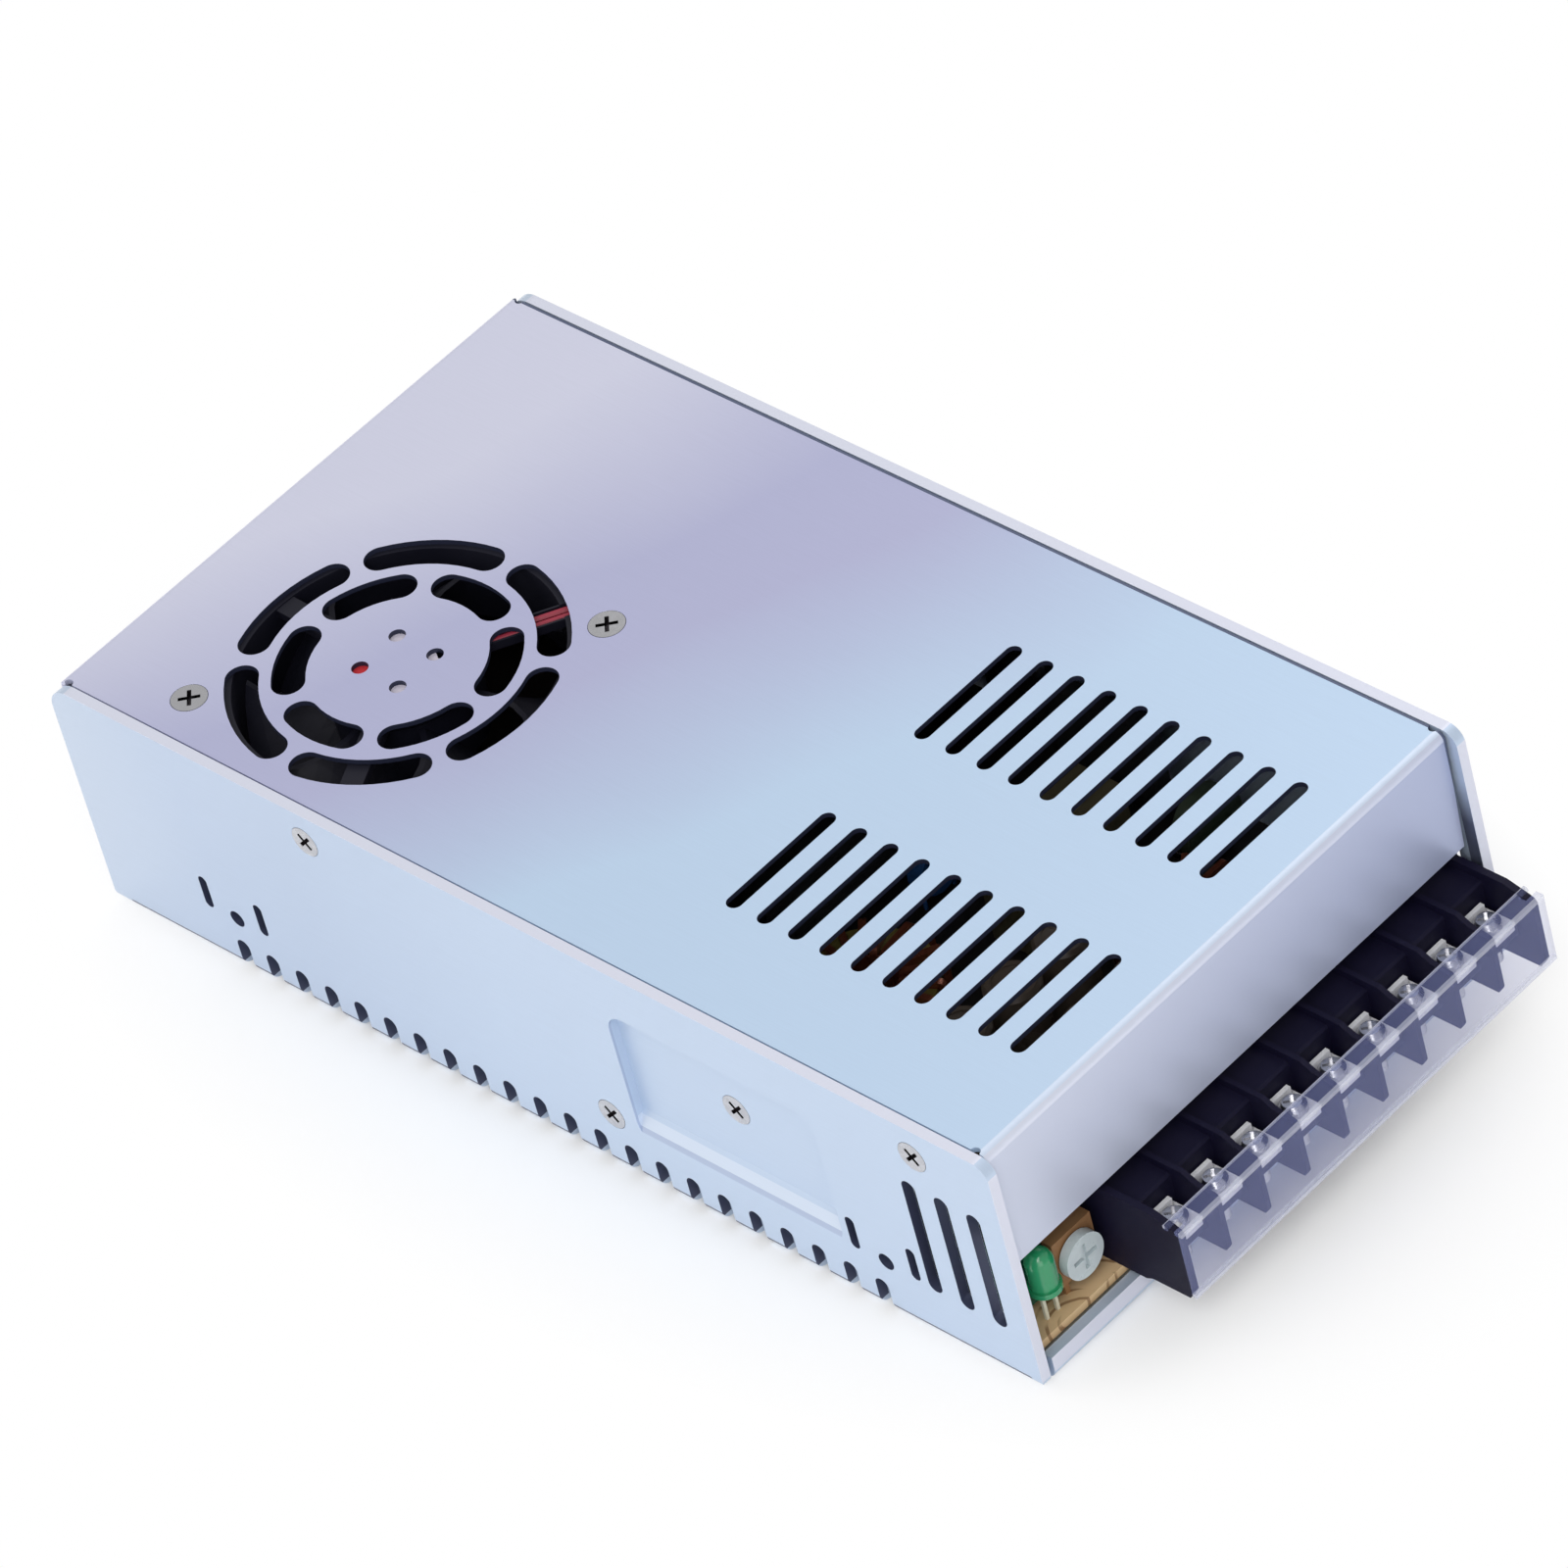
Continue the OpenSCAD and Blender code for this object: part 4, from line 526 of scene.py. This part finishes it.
def screwMaterial():
    # painted shade: the cross recesses of the flush screws, below the sheet's outer face, are dark
    look = screwLook
    tree = materials["bright_screws"].node_tree
    low, high = corners("chassis")
    skin = look["skin"]
    x, y, z = axesOf(tree, placeOf(tree))
    # the screws in the pressed pocket sit deeper by the depth of the press
    pressed = both(tree, insideOf(tree, x, *look["pressedX"]), look["pressDepth"] * mm)
    raised = mathNode(tree, "SUBTRACT", y, pressed)
    below = both(tree, insideOf(tree, raised, low[1] + skin, high[1] - skin),
                 insideOf(tree, z, -past, high[2] - skin),
                 insideOf(tree, x, low[0], high[0] + look["pastFront"]))
    layOver(tree, below, look["recess"])


indicatorLook = {"leads": (0.66, 0.64, 0.5), "leadHeight": 4.6}


def indicatorMaterial():
    # the two leads below the green lens are tinned wire
    tree = materials["green_lens"].node_tree
    foot = corners("status_led")[0][2]
    z = axesOf(tree, placeOf(tree), "Z")[0]
    leads = insideOf(tree, z, foot - past, foot + indicatorLook["leadHeight"])
    layOver(tree, leads, indicatorLook["leads"])


boardMaterial()
hubMaterial()
guardMaterial()
screwMaterial()
indicatorMaterial()

# pieces that take another finish than their slot's
ownFinish = {"clamp_washers": "washer_tin", "terminal_contacts": "washer_tin"}
for part in frame["record"]["subparts"]:
    mesh = frame["nodes"][part["node"]].data
    mesh.materials.clear()
    mesh.materials.append(materials[ownFinish.get(part["node"], part["material_slot"])])
print("finishes placed")

# the block's lines: back, deck, shelfEdge and tip along the case, base, shelf and top in height;
# each corner of a profile is given as a line and the distance from it, along and then up
blockLook = {
    "poles": 9, "pitch": 9.6, "finThick": 1.0, "endFinThick": 1.3,
    "depth": 16.0, "deckReach": 2.4, "shelfReach": 8.4, "shelfHeight": 8.3,
    "endFin": [
        ("back", 0, "base", 0), ("deck", 0, "base", 0), ("deck", 1.5, "base", 0.7), ("tip", -1, "base", 0.8),
        ("tip", 0, "base", 2.4), ("tip", 0, "top", -2.2), ("tip", -0.5, "top", -1.6),
        ("tip", -1.4, "top", -1.2), ("tip", -6, "top", 0), ("back", 0, "top", 0)],
    "innerFin": [
        ("back", 0, "base", 0), ("deck", 0, "base", 0), ("deck", 2, "base", 2.6), ("tip", -1.6, "base", 2.6),
        ("tip", -1, "base", 3.6), ("tip", -1, "top", -3), ("tip", -1.5, "top", -2.4),
        ("tip", -5.5, "top", -1.6), ("tip", -8, "top", -0.3), ("back", 0, "top", -0.3)],
    "deck": [
        ("back", 0, "base", 0), ("deck", 0, "base", 0), ("deck", 0, "top", -2.2), ("deck", -0.4, "top", -1.8),
        ("back", 0, "top", -1.8)],
    "shelf": [
        ("deck", -1, "shelf", -2), ("shelfEdge", 0, "shelf", -2), ("shelfEdge", 0, "shelf", 0),
        ("deck", -1, "shelf", 0)]}


def prism(ring, low, high):
    # A ring of corners in x and z carried along y: corner k stands at (x of k, low, z of k) and again
    # at (x of k, high, z of k). The sides join neighbours k and k + 1, and the ring closes both ends.
    count = len(ring)
    ends = [np.column_stack([ring[:, 0], np.full(count, at), ring[:, 1]]) for at in (low, high)]
    k = np.arange(count)
    after = (k + 1) % count
    sides = np.stack([k, after, after + count, k + count], -1)
    return np.concatenate(ends), [*sides, k[::-1], k + count]


def joined(name, parts, material):
    # closed pieces in millimetres as one mesh: each piece's rings are numbered on from the points before
    starts = np.cumsum([0] + [len(points) for points, faces in parts])
    rings = [ring + start for (points, faces), start in zip(parts, starts) for ring in faces]
    return meshObject(name, np.concatenate([points for points, faces in parts]) * mm, rings, material)


def buildBlock():
    # thin upright barriers between the poles, joined by the deck at the back and the shelf below
    look = blockLook
    low, high = corners("terminal_block")
    wallEnd = corners("chassis")[1][0]
    lines = {"back": wallEnd - look["depth"], "deck": wallEnd + look["deckReach"],
             "shelfEdge": wallEnd + look["shelfReach"], "tip": high[0],
             "base": low[2], "shelf": low[2] + look["shelfHeight"], "top": high[2]}

    def profile(name):
        return np.array([(lines[along] + dx, lines[up] + dz) for along, dx, up, dz in look[name]])

    width = look["poles"] * look["pitch"]
    first = (low[1] + high[1] - width) / 2
    parts = []
    for i in range(look["poles"] + 1):
        atEnd = i in (0, look["poles"])
        half = look["endFinThick" if atEnd else "finThick"] / 2
        middle = first + i * look["pitch"]
        parts.append(prism(profile("endFin" if atEnd else "innerFin"), middle - half, middle + half))
    for name in ("deck", "shelf"):
        parts.append(prism(profile(name), first, first + width))
    block = joined("barrierBlock", parts, materials["black_moulding"])
    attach(block, "case")
    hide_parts("terminal_block")


buildBlock()
print("terminal block built")

stageLook = {"reach": 6.0, "colour": (0.95, 0.95, 0.95), "rough": 0.9,
             "shadow": (0.11, 0.165),  # the floor turns plain white between these distances, in metres
             "stretch": 1.75}          # and sooner across the case than along it


def buildStage():
    reach = stageLook["reach"]
    material = bpy.data.materials.new("floorPaper")
    material.use_nodes = True
    tree = material.node_tree
    shader = tree.nodes["Principled BSDF"]
    shader.inputs["Base Color"].default_value = (*stageLook["colour"], 1)
    shader.inputs["Roughness"].default_value = stageLook["rough"]
    shader.inputs["Specular IOR Level"].default_value = 0
    # away from the object the camera sees plain white, and near it the paper with its shadow
    away = node(tree, "ShaderNodeVectorMath", operation="LENGTH")
    wire(tree, mappedTo(tree, placeOf(tree), Scale=(1, stageLook["stretch"], 1)), away.inputs[0])
    seen = both(tree, rangeOf(tree, away.outputs["Value"], stageLook["shadow"]),
                node(tree, "ShaderNodeLightPath").outputs["Is Camera Ray"])
    mixed = node(tree, "ShaderNodeMixShader")
    white = node(tree, "ShaderNodeEmission")
    for slot, source in enumerate((seen, shader.outputs[0], white.outputs[0])):
        wire(tree, source, mixed.inputs[slot])
    wire(tree, mixed.outputs[0], tree.nodes["Material Output"].inputs["Surface"])
    square = [(-reach, -reach, 0), (reach, -reach, 0), (reach, reach, 0), (-reach, reach, 0)]
    meshObject("floor", square, [(0, 1, 2, 3)], material)


# aim and distance in millimetres, angles in degrees
view = {"aim": (-3.2, 7.0, 25.0), "distance": 1789.6, "azimuth": 53.6, "elevation": 41.6, "roll": -15.64,
        "lens": 249.5, "sensor": 36, "farthest": 20}


def buildCamera():
    azimuth, elevation, roll = (math.radians(view[key]) for key in ("azimuth", "elevation", "roll"))
    back = np.array([math.cos(elevation) * math.sin(azimuth), -math.cos(elevation) * math.cos(azimuth),
                     math.sin(elevation)])
    place = (np.array(view["aim"]) + back * view["distance"]) * mm
    level = np.cross(-back, (0, 0, 1))
    level /= np.linalg.norm(level)
    right = level * math.cos(roll) + np.cross(level, -back) * math.sin(roll)
    up = np.cross(right, -back)
    data = bpy.data.cameras.new("camera")
    data.lens = view["lens"]
    data.sensor_width = view["sensor"]
    data.clip_end = view["farthest"]
    camera = bpy.data.objects.new("camera", data)
    camera.matrix_world = Matrix([*np.column_stack([right, up, back, place]).tolist(), (0, 0, 0, 1)])
    bpy.context.scene.collection.objects.link(camera)
    bpy.context.scene.camera = camera


# soft lamps about the object, in metres and watts, and an even white world
lamps = {
    "keyLamp": dict(place=(0.9, -1.1, 1.6), aim=(0, 0, 0), size=1.2, power=16),
    "fillLamp": dict(place=(-1.2, -0.9, 1.1), aim=(0, 0, 0), size=1.4, power=9),
    "rimLamp": dict(place=(-0.4, 1.4, 1.3), aim=(0, 0, 0), size=1.4, power=8),
    "endLamp": dict(place=(1.3, -0.75, 0.45), aim=(0.1, 0, 0), size=0.9, power=3.5)}
worldStrength = 0.55


def buildLight():
    for name, look in lamps.items():
        data = bpy.data.lights.new(name, "AREA")
        data.size = look["size"]
        data.energy = look["power"]
        lamp = bpy.data.objects.new(name, data)
        lamp.location = look["place"]
        towards = Vector(look["aim"]) - Vector(look["place"])
        lamp.rotation_euler = towards.to_track_quat("-Z", "Y").to_euler()
        bpy.context.scene.collection.objects.link(lamp)
    world = bpy.data.worlds.new("studio")
    world.use_nodes = True
    bpy.context.scene.world = world
    background = world.node_tree.nodes["Background"]
    background.inputs["Color"].default_value = (1, 1, 1, 1)
    background.inputs["Strength"].default_value = worldStrength


buildStage()
buildCamera()
buildLight()
bpy.context.scene.view_settings.view_transform = "Standard"
print("stage, light and camera set")
